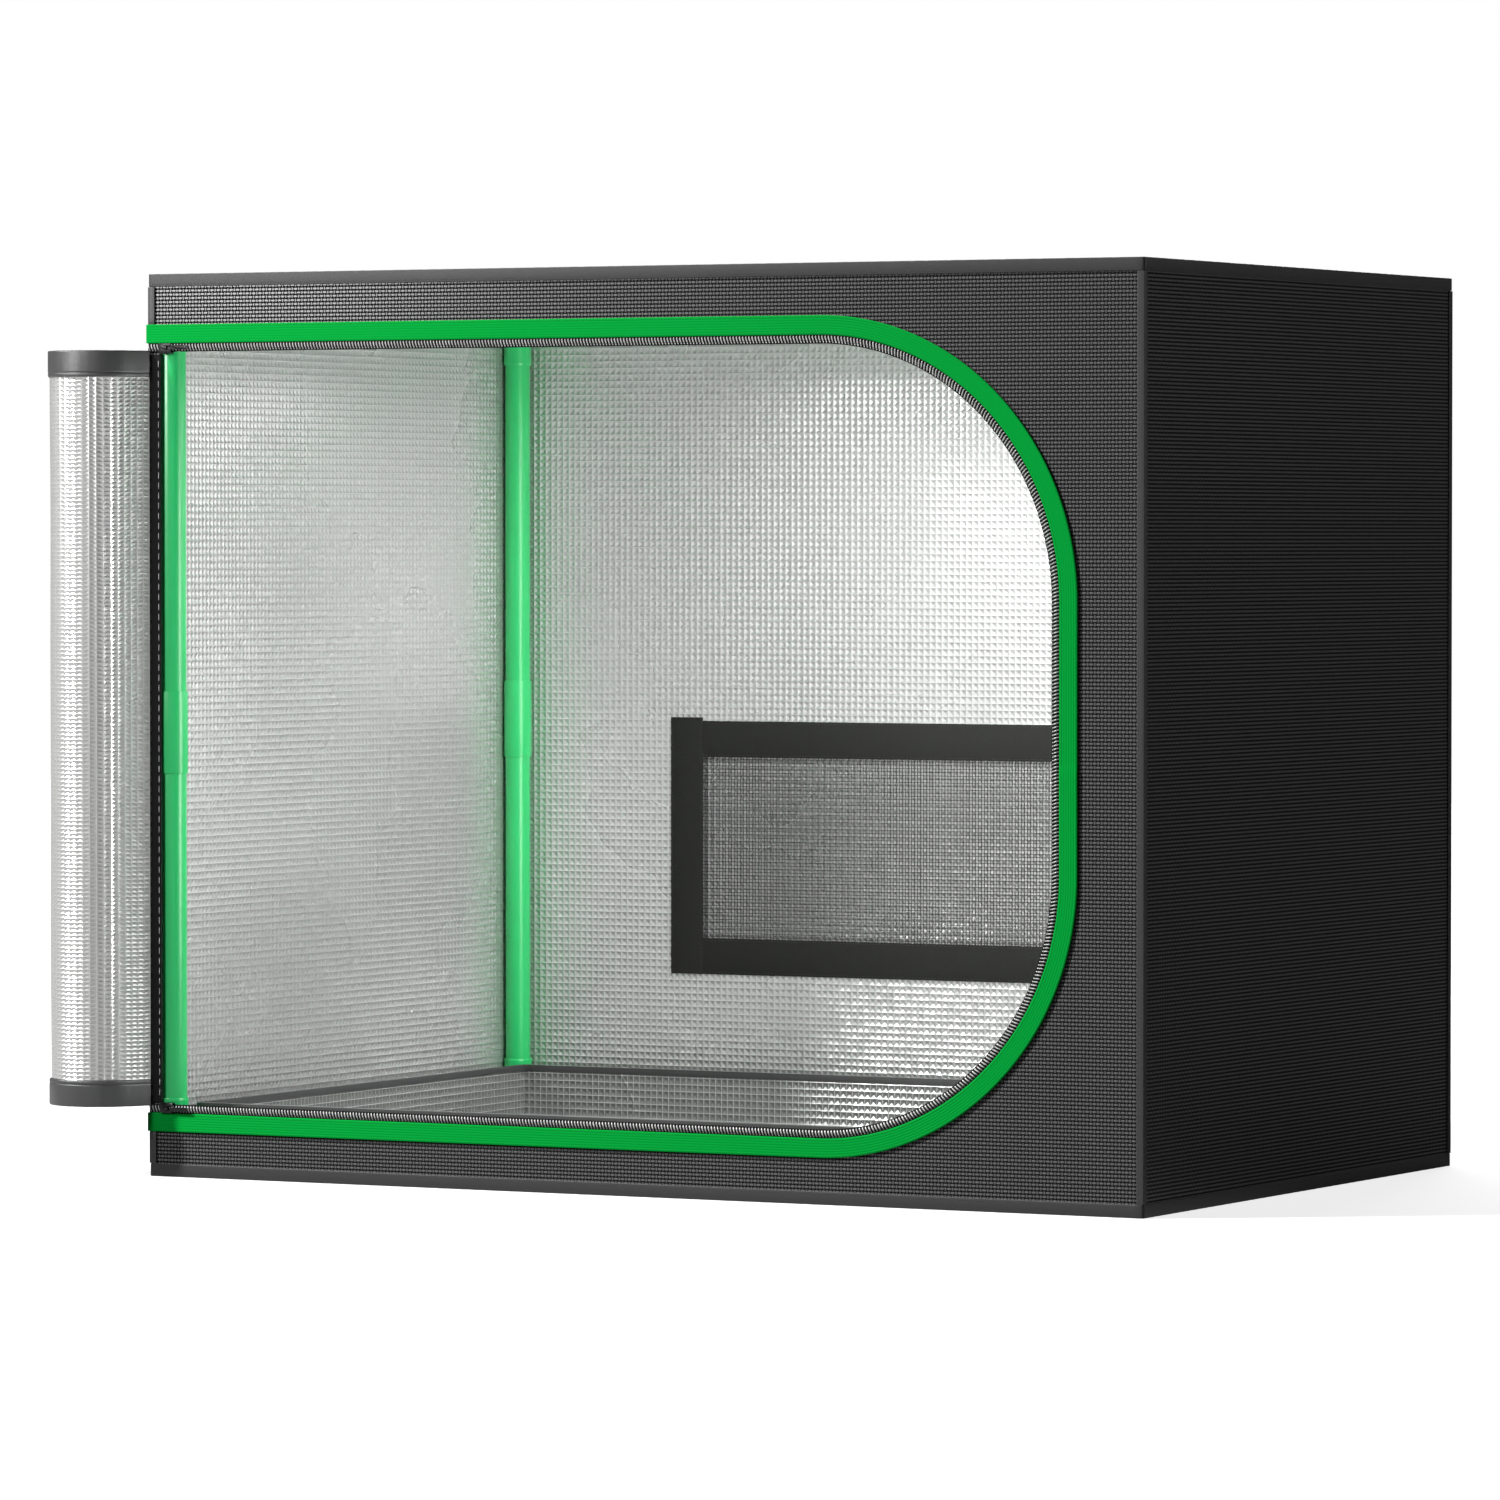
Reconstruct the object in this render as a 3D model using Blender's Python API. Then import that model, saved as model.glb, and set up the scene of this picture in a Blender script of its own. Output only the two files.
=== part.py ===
# Indoor grow tent: tube frame, fabric skin, D-shaped door rolled up at its hinge seam, zip,
# netted window with an outside flap, duct sleeve, hanging bars and a lift-out floor tray.
# Metres, +Z up. The origin is the middle of the floor's underside. The door faces -Y.

import math

import bmesh
import bpy
from mathutils import Matrix, Vector

MM = 0.001

# Overall size over the edge bindings
TENT_WIDTH = 914 * MM
TENT_DEPTH = 610 * MM
TENT_HEIGHT = 750 * MM
GAP = 0.3 * MM  # left between pieces that touch

# Fabric panels and the binding sewn round their edges
FABRIC = 1.2 * MM
BINDING_THICK = 1.0 * MM
BINDING_DROP = 10.5 * MM  # down the walls from the roof, and up them from the floor
BINDING_LAP = 8 * MM  # in over the roof, and in under the floor
BINDING_SIDE = 6.5 * MM  # each leg of a corner binding
BINDING_ROUND = 0.8 * MM

# Tube frame
TUBE_OUTSIDE = 22 * MM
TUBE_WALL = 0.8 * MM
SOCKET_PLAY = 0.3 * MM  # between a tube and its socket, all round
SOCKET_WALL = 0.8 * MM
SOCKET_REACH = 50 * MM  # from the corner's centre to a socket's mouth
SOCKET_STOP = 14 * MM  # from the corner's centre to the tube's end
CORE_RELIEF = 0.5 * MM  # of the corner block's faces below the sockets
CORE_BEVEL = 3 * MM
LOWER_TUBE = 340 * MM  # length of a post's lower tube
JOINER_LENGTH = 68 * MM

# Hanging bars, front to back on the top rails
BAR_OUTSIDE = 16 * MM
BAR_PLACE = 150 * MM  # from the middle of the tent
HOOK_WIDTH = 10 * MM
HOOK_LIP = 4 * MM  # the hook's straight outer end below the rail's middle
HOOK_FOOT = 1 * MM  # of the hook below the bar that is welded to it

# Door opening: a D with its straight side at the left, edged by green webbing
BAND_BELOW_TOP = 41.8 * MM  # from the tent's top to the webbing
BAND_BOTTOM = 37.5 * MM
BAND_FROM_RIGHT = 57.5 * MM  # from the tent's right side to the webbing
BAND_RADIUS = 228 * MM
BAND_WIDTH = 15.5 * MM
BAND_THICK = 1.2 * MM
BAND_OVERHANG = 1 * MM  # past the tent's left side
TAPE_LAP = 7.5 * MM  # of the zip tape under the webbing
TAPE_THICK = 0.6 * MM
COIL_WIDTH = 6.6 * MM
COIL_THICK = 1.5 * MM
FABRIC_LAP = 6.2 * MM  # of the front panel's edge under the zip tape
HINGE_STRIP = 11 * MM  # from the tent's left side to the opening
HINGE_TAPE_THICK = 0.9 * MM
HINGE_TAPE_PROUD = 0.7 * MM  # past the strip, into the opening

# Rolled door
HINGE_LAP = 0.5 * MM  # of the door's edge over the hinge tape
ROLL_OFFSET = 48.6 * MM  # from the hinge line to the roll's axis
ROLL_RADIUS = 42.3 * MM  # of the outer turn's middle line
ROLL_PITCH = 5 * MM  # from turn to turn
DOOR_LAP = 1.5 * MM  # of the door's edge over the zip
HEM_HEIGHT = 22 * MM
HEM_THICK = 3.7 * MM
HEM_SHIFT = 0.45 * MM  # of the hem's middle outward from the cloth's
HEM_EASE = 2 * MM  # the cloth's round corners start this much before the hem's

# Zip sliders and their pulls
SLIDER_LENGTH = 12 * MM
SLIDER_PLATE = 1.2 * MM
SLIDER_BACK = 1.0 * MM
SLIDER_CLEAR = 0.3 * MM
SLIDER_INDENT = 1 * MM  # parked this far right of the hinge strip
BAIL_SPAN = 4.4 * MM
BAIL_RISE = 2 * MM
BAIL_THICK = 1 * MM
BAIL_WIDTH = 1.7 * MM
BAIL_ROOT = 0.4 * MM
PULL_LENGTH = 22 * MM
PULL_WIDTH = 3.6 * MM
PULL_THICK = 1.2 * MM
PULL_EYE = 3.4 * MM
PULL_ROUND = 1.4 * MM

# Window in the back wall
WINDOW_MARGIN = 197 * MM  # from each side of the tent to the net's open width
WINDOW_LOW = 176.5 * MM
WINDOW_HEIGHT = 160.5 * MM
BORDER_WIDTH = 32 * MM
BORDER_THICK = 1.2 * MM
BORDER_LAP = 8 * MM  # of the border past the hole's edge
NET_THICK = 0.8 * MM
NET_BAR = 2 * MM
NET_COLUMNS = 15
NET_ROWS = 5
HOOK_STRIP_WIDTH = 20 * MM
HOOK_STRIP_THICK = 0.8 * MM
FLAP_THICK = 1.0 * MM

# Duct sleeve on the back wall
DUCT_FROM_RIGHT = 95 * MM  # from the tent's right side to the sleeve's axis
DUCT_BELOW_TOP = 110 * MM  # from the tent's top to the sleeve's axis
DUCT_RADIUS = 55 * MM
DUCT_LENGTH = 58 * MM
DUCT_FLANGE = 12 * MM
DUCT_CLOTH = 1.4 * MM
DUCT_HEM = 12 * MM
DUCT_HEM_SWELL = 1 * MM
DUCT_DRAW_IN = 3 * MM
FLUTE_DEPTH = 1.6 * MM
FLUTES = 12

# Floor tray
TRAY_HEIGHT = 57 * MM
TRAY_PLAY = 1.6 * MM  # to the frame, all round
TRAY_BINDING = 0.6 * MM
TRAY_BINDING_DROP = 5 * MM

# Facets
TUBE_SIDES = 16
ARC_STEPS = 14
ROLL_STEPS = 24  # to a turn
STEPS_PER_FLUTE = 4
SLEEVE_RINGS = 5
HOOK_STEPS = 10
CUT_OVERRUN = 5 * MM
SMOOTH_ANGLE = math.radians(40)

# Faces of the panels, from outside to inside
OUT_X = TENT_WIDTH / 2
OUT_Y = TENT_DEPTH / 2
SKIN_X = OUT_X - BINDING_THICK - GAP
SKIN_Y = OUT_Y - BINDING_THICK - GAP
ROOF_TOP = TENT_HEIGHT - BINDING_THICK - GAP
FLOOR_RIM = BINDING_THICK + GAP
FLOOR_TOP = FLOOR_RIM + FABRIC
WALL_LOW = FLOOR_TOP + GAP
WALL_HIGH = ROOF_TOP - FABRIC - GAP

# Frame centre lines: the sockets lie against the skin
TUBE_RADIUS = TUBE_OUTSIDE / 2
TUBE_BORE = TUBE_RADIUS - TUBE_WALL
SOCKET_BORE = TUBE_RADIUS + SOCKET_PLAY
SOCKET_RADIUS = SOCKET_BORE + SOCKET_WALL
FRAME_X = SKIN_X - FABRIC - GAP - SOCKET_RADIUS
FRAME_Y = SKIN_Y - FABRIC - GAP - SOCKET_RADIUS
FRAME_LOW = FLOOR_TOP + GAP + SOCKET_RADIUS
FRAME_HIGH = ROOF_TOP - FABRIC - GAP - SOCKET_RADIUS
TUBE_START = SOCKET_STOP + GAP
JOINER_MIDDLE = FRAME_LOW + TUBE_START + LOWER_TUBE + GAP / 2
JOINER_LOW = JOINER_MIDDLE - JOINER_LENGTH / 2
JOINER_HIGH = JOINER_MIDDLE + JOINER_LENGTH / 2

# The door opening and what edges it
BAND_TOP = TENT_HEIGHT - BAND_BELOW_TOP
BAND_RIGHT = OUT_X - BAND_FROM_RIGHT

# Zip layers: how far in from the webbing's outer edge, and how far proud of the front panel
TAPE_START = BAND_WIDTH - TAPE_LAP
COIL_START = BAND_WIDTH + GAP
COIL_END = COIL_START + COIL_WIDTH
TAPE_END = COIL_END + GAP
OPENING_INSET = TAPE_START + FABRIC_LAP
OPENING_LEFT = HINGE_STRIP - OUT_X
TAPE_PROUD = GAP + TAPE_THICK
COIL_BACK = TAPE_PROUD + GAP
COIL_PROUD = COIL_BACK + COIL_THICK
BAND_PROUD = COIL_BACK + BAND_THICK
ZIP_LINE = (COIL_START + COIL_END) / 2

# The hinge line of the door and the roll beside it
HINGE_TAPE_LEFT = -SKIN_X - GAP
HINGE_X = HINGE_TAPE_LEFT + HINGE_LAP
HINGE_Y = -SKIN_Y - GAP - HINGE_TAPE_THICK - GAP - FABRIC / 2
DOOR_INSET = TAPE_END - DOOR_LAP
DOOR_LOW = BAND_BOTTOM + DOOR_INSET
DOOR_HIGH = BAND_TOP - DOOR_INSET
DOOR_WIDTH = BAND_RIGHT - TAPE_END + OUT_X
DOOR_RADIUS = BAND_RADIUS - TAPE_END

# Slider and pull
SLIDER_X = OPENING_LEFT + SLIDER_INDENT + SLIDER_LENGTH / 2
SLIDER_FRONT = COIL_PROUD + SLIDER_CLEAR
SLIDER_PROUD = SLIDER_FRONT + SLIDER_PLATE
SLIDER_WALL = TAPE_END + SLIDER_CLEAR
SLIDER_END = SLIDER_WALL + SLIDER_PLATE
PULL_PROUD = SLIDER_PROUD + BAIL_RISE / 2

# Window and its flap
WINDOW_HALF_WIDTH = OUT_X - WINDOW_MARGIN
WINDOW_HALF_HEIGHT = WINDOW_HEIGHT / 2
WINDOW_MIDDLE = WINDOW_LOW + WINDOW_HALF_HEIGHT
BORDER_HALF_WIDTH = WINDOW_HALF_WIDTH + BORDER_WIDTH
BORDER_HALF_HEIGHT = WINDOW_HALF_HEIGHT + BORDER_WIDTH
FLAP_BACK = SKIN_Y + GAP + HOOK_STRIP_THICK + GAP
FLAP_HINGE_Z = WINDOW_MIDDLE + BORDER_HALF_HEIGHT + GAP

# Duct sleeve's axis
DUCT_X = OUT_X - DUCT_FROM_RIGHT
DUCT_Z = TENT_HEIGHT - DUCT_BELOW_TOP

# Tray
TRAY_HALF_X = FRAME_X - SOCKET_RADIUS - TRAY_PLAY
TRAY_HALF_Y = FRAME_Y - SOCKET_RADIUS - TRAY_PLAY
TRAY_LOW = FLOOR_TOP + GAP
TRAY_HIGH = TRAY_LOW + TRAY_HEIGHT

CORNERS = {"front_left": (-1, -1), "front_right": (1, -1), "back_left": (-1, 1), "back_right": (1, 1)}

# Colour, roughness and metallic value of each finish
FINISHES = {
    "green_enamel": ((0.005, 0.45, 0.085), 0.28, 0.0),
    "green_webbing": ((0.003, 0.40, 0.052), 0.6, 0.0),
    "black_canvas": ((0.022, 0.022, 0.023), 0.75, 0.0),
    "mirror_film": ((0.78, 0.78, 0.77), 0.3, 0.6),
    "grey_binding": ((0.055, 0.057, 0.056), 0.7, 0.0),
    "black_tape": ((0.008, 0.008, 0.009), 0.8, 0.0),
    "zip_coil": ((0.2, 0.2, 0.2), 0.5, 0.0),
    "dark_metal": ((0.03, 0.03, 0.03), 0.35, 0.9),
    "white_enamel": ((0.6, 0.6, 0.58), 0.4, 0.0),
    "black_net": ((0.02, 0.02, 0.02), 0.8, 0.0),
}


def clear_scene():
    for old in list(bpy.data.objects):
        bpy.data.objects.remove(old, do_unlink=True)


def give_finish(obj, finish):
    colour, roughness, metallic = FINISHES[finish]
    material = bpy.data.materials.new(f"{obj.name}_{finish}")
    material.use_nodes = True
    shader = material.node_tree.nodes["Principled BSDF"]
    shader.inputs["Base Color"].default_value = (*colour, 1)
    shader.inputs["Roughness"].default_value = roughness
    shader.inputs["Metallic"].default_value = metallic
    obj.data.materials.append(material)


def add_object(name, bm, finish=None, smooth=False):
    bmesh.ops.recalc_face_normals(bm, faces=bm.faces)
    mesh = bpy.data.meshes.new(name)
    bm.to_mesh(mesh)
    bm.free()
    if smooth:
        mesh.shade_smooth()
        mesh.set_sharp_from_angle(angle=SMOOTH_ANGLE)
    obj = bpy.data.objects.new(name, mesh)
    bpy.context.scene.collection.objects.link(obj)
    if finish:
        give_finish(obj, finish)
    return obj


def add_helper(name, bm):
    obj = add_object(name, bm)
    obj.hide_render = True
    obj.display_type = "WIRE"
    return obj


def boolean(obj, other, operation):
    modifier = obj.modifiers.new(f"{operation.lower()}_{other.name}", "BOOLEAN")
    modifier.operation = operation
    modifier.solver = "EXACT"
    modifier.object = other


def settle(obj):
    # Replace the mesh by the shape that its modifiers give, so that copies can share it.
    bpy.context.view_layer.update()
    graph = bpy.context.evaluated_depsgraph_get()
    mesh = bpy.data.meshes.new_from_object(obj.evaluated_get(graph))
    obj.modifiers.clear()
    obj.data = mesh


def add_copy(name, source, finish):
    mesh = source.data.copy()
    mesh.name = name
    mesh.materials.clear()
    obj = bpy.data.objects.new(name, mesh)
    bpy.context.scene.collection.objects.link(obj)
    give_finish(obj, finish)
    return obj


def add_pivot(name, place):
    pivot = bpy.data.objects.new(name, None)
    pivot.location = place
    bpy.context.scene.collection.objects.link(pivot)
    return pivot


def hang_on(pivot, *pieces):
    # The pieces keep their places and turn about the pivot.
    for piece in pieces:
        piece.parent = pivot
        piece.location = piece.location - pivot.location


def box(low, high):
    low, high = Vector(low), Vector(high)
    bm = bmesh.new()
    place = Matrix.Translation((low + high) / 2) @ Matrix.Diagonal((*(high - low), 1))
    bmesh.ops.create_cube(bm, size=1, matrix=place)
    return bm


def loft(rings, closed=False):
    # Skin a row of like outlines. The row closes on itself, or its two ends are capped.
    bm = bmesh.new()
    rows = [[bm.verts.new(point) for point in ring] for ring in rings]
    pairs = list(zip(rows, rows[1:]))
    if closed:
        pairs.append((rows[-1], rows[0]))
    else:
        bm.faces.new(rows[0])
        bm.faces.new(rows[-1])
    for near, far in pairs:
        for i, vert in enumerate(near):
            bm.faces.new((near[i - 1], vert, far[i], far[i - 1]))
    return bm


def spun(profile, steps):
    # A closed outline of radius and height, spun a full turn about Z.
    bm = bmesh.new()
    verts = [bm.verts.new((radius, 0, z)) for radius, z in profile]
    edges = [bm.edges.new((verts[i - 1], verts[i])) for i in range(len(verts))]
    turn = {"cent": (0, 0, 0), "axis": (0, 0, 1), "angle": math.tau, "steps": steps}
    bmesh.ops.spin(bm, geom=verts + edges, use_merge=True, **turn)
    return bm


def pipe(bore, radius, low, high, steps=TUBE_SIDES):
    return spun([(bore, low), (radius, low), (radius, high), (bore, high)], steps)


def cylinder(radius, low, high, turn=None):
    bm = bmesh.new()
    place = Matrix.Translation((0, 0, (low + high) / 2))
    if turn is not None:
        place = turn @ place
    size = {"radius1": radius, "radius2": radius, "depth": high - low}
    bmesh.ops.create_cone(bm, cap_ends=True, segments=TUBE_SIDES, matrix=place, **size)
    return bm


def rect_loop(half_u, half_v, profile, upright=False, middle=0):
    # A closed strip round a rectangle. The profile gives how far in, and the third coordinate:
    # height on a lying loop, Y on an upright one.
    rings = []
    for sign_u, sign_v in ((-1, -1), (1, -1), (1, 1), (-1, 1)):
        ring = []
        for inset, third in profile:
            u, v = sign_u * (half_u - inset), sign_v * (half_v - inset)
            ring.append((u, third, middle + v) if upright else (u, v, third))
        rings.append(ring)
    return loft(rings, closed=True)


def rect_tower(levels):
    # Rectangles of half width, half depth and height, skinned from the first to the last.
    rings = [[(-x, -y, z), (x, -y, z), (x, y, z), (-x, y, z)] for x, y, z in levels]
    return loft(rings)


def proud(distance):
    return -SKIN_Y - distance


def d_outline(inset, left):
    # From the top left corner, round the two arcs on the right, back to the left below.
    radius = BAND_RADIUS - inset
    middle_x = BAND_RIGHT - BAND_RADIUS
    middles_z = (BAND_TOP - BAND_RADIUS, BAND_BOTTOM + BAND_RADIUS)
    points = [(left, BAND_TOP - inset)]
    for quarter, middle_z in enumerate(middles_z):
        for step in range(ARC_STEPS + 1):
            angle = math.pi / 2 * (1 - quarter - step / ARC_STEPS)
            points.append((middle_x + radius * math.cos(angle), middle_z + radius * math.sin(angle)))
    points.append((left, BAND_BOTTOM + inset))
    return points


def d_strip(profile, left):
    # A strip carried along the D. The profile gives inset, and distance proud of the panel.
    outlines = [d_outline(inset, left) for inset, _ in profile]
    rings = []
    for stations in zip(*outlines):
        rings.append([(x, proud(out), z) for (x, z), (_, out) in zip(stations, profile)])
    return loft(rings)


def make_corner_connector():
    # Three sockets at right angles on a solid core block with rounded edges.
    turns = (Matrix.Identity(4), Matrix.Rotation(math.pi / 2, 4, "Y"), Matrix.Rotation(-math.pi / 2, 4, "X"))
    half = SOCKET_RADIUS - CORE_RELIEF
    core = box((-half, -half, -half), (half, half, half))
    bmesh.ops.bevel(core, geom=core.edges[:], offset=CORE_BEVEL, segments=2, affect="EDGES", profile=0.5)
    connector = add_helper("connector_core", core)
    for index, turn in enumerate(turns):
        arm = add_helper(f"socket_{index}", cylinder(SOCKET_RADIUS, 0, SOCKET_REACH, turn))
        bore = add_helper(
            f"socket_bore_{index}", cylinder(SOCKET_BORE, SOCKET_STOP, SOCKET_REACH + CUT_OVERRUN, turn)
        )
        boolean(connector, arm, "UNION")
        boolean(connector, bore, "DIFFERENCE")
    settle(connector)
    return connector


def build_posts():
    lower = pipe(TUBE_BORE, TUBE_RADIUS, FRAME_LOW + TUBE_START, JOINER_MIDDLE - GAP / 2)
    lower = add_helper("post_lower", lower)
    upper = pipe(TUBE_BORE, TUBE_RADIUS, JOINER_MIDDLE + GAP / 2, FRAME_HIGH - TUBE_START)
    upper = add_helper("post_upper", upper)
    joiner = pipe(SOCKET_BORE, SOCKET_RADIUS, JOINER_LOW, JOINER_HIGH)
    joiner = add_helper("post_joiner", joiner)
    for source in (lower, upper, joiner):
        for corner, (side_x, side_y) in CORNERS.items():
            post = add_copy(f"{source.name}_{corner}", source, "green_enamel")
            post.location = (side_x * FRAME_X, side_y * FRAME_Y, 0)


def build_corners():
    # The connector's arms point to +X, +Y and +Z, so a quarter turn fits it to the next corner.
    connector = make_corner_connector()
    quarters = {"front_left": 0, "front_right": 1, "back_right": 2, "back_left": 3}
    for corner, (side_x, side_y) in CORNERS.items():
        low = add_copy(f"corner_bottom_{corner}", connector, "green_enamel")
        low.location = (side_x * FRAME_X, side_y * FRAME_Y, FRAME_LOW)
        low.rotation_euler = (0, 0, quarters[corner] * math.pi / 2)
        high = add_copy(f"corner_top_{corner}", connector, "green_enamel")
        high.location = (side_x * FRAME_X, side_y * FRAME_Y, FRAME_HIGH)
        high.rotation_euler = (math.pi, 0, (quarters[corner] + 1) * math.pi / 2)


def build_rails():
    long_half = FRAME_X - TUBE_START
    short_half = FRAME_Y - TUBE_START
    across = add_helper("rail_across", pipe(TUBE_BORE, TUBE_RADIUS, -long_half, long_half))
    along = add_helper("rail_along", pipe(TUBE_BORE, TUBE_RADIUS, -short_half, short_half))
    for level, z in (("bottom", FRAME_LOW), ("top", FRAME_HIGH)):
        for side, y in (("front", -FRAME_Y), ("back", FRAME_Y)):
            rail = add_copy(f"rail_{level}_{side}", across, "green_enamel")
            rail.location = (0, y, z)
            rail.rotation_euler = (0, math.pi / 2, 0)
        for side, x in (("left", -FRAME_X), ("right", FRAME_X)):
            rail = add_copy(f"rail_{level}_{side}", along, "green_enamel")
            rail.location = (x, 0, z)
            rail.rotation_euler = (math.pi / 2, 0, 0)


def hook_over_rail(side):
    # A strip bent half round a top rail: up from the bar's underside, over, and a short way down.
    rail_y = side * FRAME_Y
    rings = [(side, 0, -BAR_OUTSIDE / 2 - HOOK_FOOT)]
    for step in range(HOOK_STEPS + 1):
        angle = math.pi * step / HOOK_STEPS
        rings.append((side * math.cos(angle), math.sin(angle), 0))
    rings.append((-side, 0, -HOOK_LIP))
    sections = []
    for out, up, drop in rings:
        section = []
        for radius, x in (
            (SOCKET_BORE, -HOOK_WIDTH / 2),
            (SOCKET_RADIUS, -HOOK_WIDTH / 2),
            (SOCKET_RADIUS, HOOK_WIDTH / 2),
            (SOCKET_BORE, HOOK_WIDTH / 2),
        ):
            section.append((x, rail_y - out * radius, FRAME_HIGH + up * radius + drop))
        sections.append(section)
    return loft(sections)


def build_hanging_bars():
    half = FRAME_Y - SOCKET_BORE - SOCKET_WALL / 2
    bar = add_helper("bar", pipe(BAR_OUTSIDE / 2 - TUBE_WALL, BAR_OUTSIDE / 2, -half, half))
    bar.rotation_euler = (math.pi / 2, 0, 0)
    bar.location = (0, 0, FRAME_HIGH)
    base = add_helper("hanging_bar_shape", hook_over_rail(-1))
    boolean(base, bar, "UNION")
    boolean(base, add_helper("hook_back", hook_over_rail(1)), "UNION")
    settle(base)
    for side, sign in (("left", -1), ("right", 1)):
        piece = add_copy(f"hanging_bar_{side}", base, "white_enamel")
        piece.location = (sign * BAR_PLACE, 0, 0)


def build_panels():
    # The front and back panels lap the edges of the side walls.
    front = add_object(
        "skin_front", box((-SKIN_X, -SKIN_Y, WALL_LOW), (SKIN_X, FABRIC - SKIN_Y, WALL_HIGH)), "black_canvas"
    )
    outline = d_outline(OPENING_INSET, OPENING_LEFT)
    near = [(x, -SKIN_Y - CUT_OVERRUN, z) for x, z in outline]
    far = [(x, CUT_OVERRUN - SKIN_Y, z) for x, z in outline]
    boolean(front, add_helper("door_hole", loft([near, far])), "DIFFERENCE")

    back = add_object(
        "skin_back", box((-SKIN_X, SKIN_Y - FABRIC, WALL_LOW), (SKIN_X, SKIN_Y, WALL_HIGH)), "black_canvas"
    )
    hole_x, hole_z = WINDOW_HALF_WIDTH + BORDER_LAP, WINDOW_HALF_HEIGHT + BORDER_LAP
    window_low = (-hole_x, SKIN_Y - CUT_OVERRUN, WINDOW_MIDDLE - hole_z)
    window_high = (hole_x, SKIN_Y + CUT_OVERRUN, WINDOW_MIDDLE + hole_z)
    boolean(back, add_helper("window_hole", box(window_low, window_high)), "DIFFERENCE")
    port = add_helper("port_hole", cylinder(DUCT_RADIUS, -CUT_OVERRUN, CUT_OVERRUN))
    port.location = (DUCT_X, SKIN_Y, DUCT_Z)
    port.rotation_euler = (-math.pi / 2, 0, 0)
    boolean(back, port, "DIFFERENCE")

    inner_y = SKIN_Y - FABRIC - GAP
    for side, sign in (("left", -1), ("right", 1)):
        faces = sorted((sign * SKIN_X, sign * (SKIN_X - FABRIC)))
        panel = box((faces[0], -inner_y, WALL_LOW), (faces[1], inner_y, WALL_HIGH))
        add_object(f"skin_{side}", panel, "black_canvas")
    roof = box((-SKIN_X, -SKIN_Y, ROOF_TOP - FABRIC), (SKIN_X, SKIN_Y, ROOF_TOP))
    add_object("skin_roof", roof, "black_canvas")
    foot_x, foot_y = OUT_X - BINDING_LAP - GAP, OUT_Y - BINDING_LAP - GAP
    floor = [
        (foot_x, foot_y, 0),
        (foot_x, foot_y, FLOOR_RIM),
        (SKIN_X, SKIN_Y, FLOOR_RIM),
        (SKIN_X, SKIN_Y, FLOOR_TOP),
    ]
    add_object("skin_floor", rect_tower(floor), "black_canvas")


def angle_section(leg_a, leg_b):
    # The folded binding cut across: two legs, with the fold's outer corner rounded.
    softened = BINDING_ROUND * (1 - math.sqrt(0.5))
    return (
        (0, leg_b),
        (0, BINDING_ROUND),
        (softened, softened),
        (BINDING_ROUND, 0),
        (leg_a, 0),
        (leg_a, BINDING_THICK),
        (BINDING_THICK, BINDING_THICK),
        (BINDING_THICK, leg_b),
    )


def binding_profile(edge, inward):
    section = angle_section(BINDING_LAP, BINDING_DROP)
    return [(inset, edge + inward * depth) for inset, depth in section]


def build_bindings():
    add_object("binding_roof", rect_loop(OUT_X, OUT_Y, binding_profile(TENT_HEIGHT, -1)), "grey_binding")
    add_object("binding_floor", rect_loop(OUT_X, OUT_Y, binding_profile(0, 1)), "grey_binding")
    section = angle_section(BINDING_SIDE, BINDING_SIDE)
    low, high = BINDING_DROP + GAP, TENT_HEIGHT - BINDING_DROP - GAP
    for corner, (side_x, side_y) in CORNERS.items():
        plan = [(side_x * (OUT_X - x), side_y * (OUT_Y - y)) for x, y in section]
        rings = [[(x, y, z) for x, y in plan] for z in (low, high)]
        strip = add_object(f"binding_{corner}", loft(rings), "grey_binding")
        if corner == "front_left":
            # The webbing and the door's hinge seam take its front leg's place beside the opening.
            cut_low = (-OUT_X - CUT_OVERRUN, -OUT_Y - CUT_OVERRUN, BAND_BOTTOM - GAP)
            cut_high = (-OUT_X + BINDING_SIDE + CUT_OVERRUN, GAP - SKIN_Y, BAND_TOP + GAP)
            boolean(strip, add_helper("seam_notch", box(cut_low, cut_high)), "DIFFERENCE")


def build_door_edge():
    # The webbing covers the zip tape's outer edge, so its back has a step.
    step = TAPE_START - GAP
    band = [
        (0, GAP),
        (step, GAP),
        (step, COIL_BACK),
        (BAND_WIDTH, COIL_BACK),
        (BAND_WIDTH, BAND_PROUD),
        (0, BAND_PROUD),
    ]
    add_object("door_band", d_strip(band, -OUT_X - BAND_OVERHANG), "green_webbing")
    tape = [(TAPE_START, GAP), (TAPE_END, GAP), (TAPE_END, TAPE_PROUD), (TAPE_START, TAPE_PROUD)]
    add_object("zip_tape", d_strip(tape, -OUT_X), "black_tape")
    shoulder = COIL_WIDTH / 4
    coil = [
        (COIL_START, COIL_BACK),
        (COIL_END, COIL_BACK),
        (COIL_END, COIL_BACK + COIL_THICK / 2),
        (COIL_END - shoulder, COIL_PROUD),
        (COIL_START + shoulder, COIL_PROUD),
        (COIL_START, COIL_BACK + COIL_THICK / 2),
    ]
    add_object("zip_coil", d_strip(coil, -OUT_X), "zip_coil")
    tape_low = (HINGE_TAPE_LEFT, proud(GAP + HINGE_TAPE_THICK), BAND_BOTTOM + SLIDER_END + GAP)
    tape_high = (OPENING_LEFT + HINGE_TAPE_PROUD, proud(GAP), BAND_TOP - SLIDER_END - GAP)
    add_object("door_hinge_tape", box(tape_low, tape_high), "black_tape")


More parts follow.
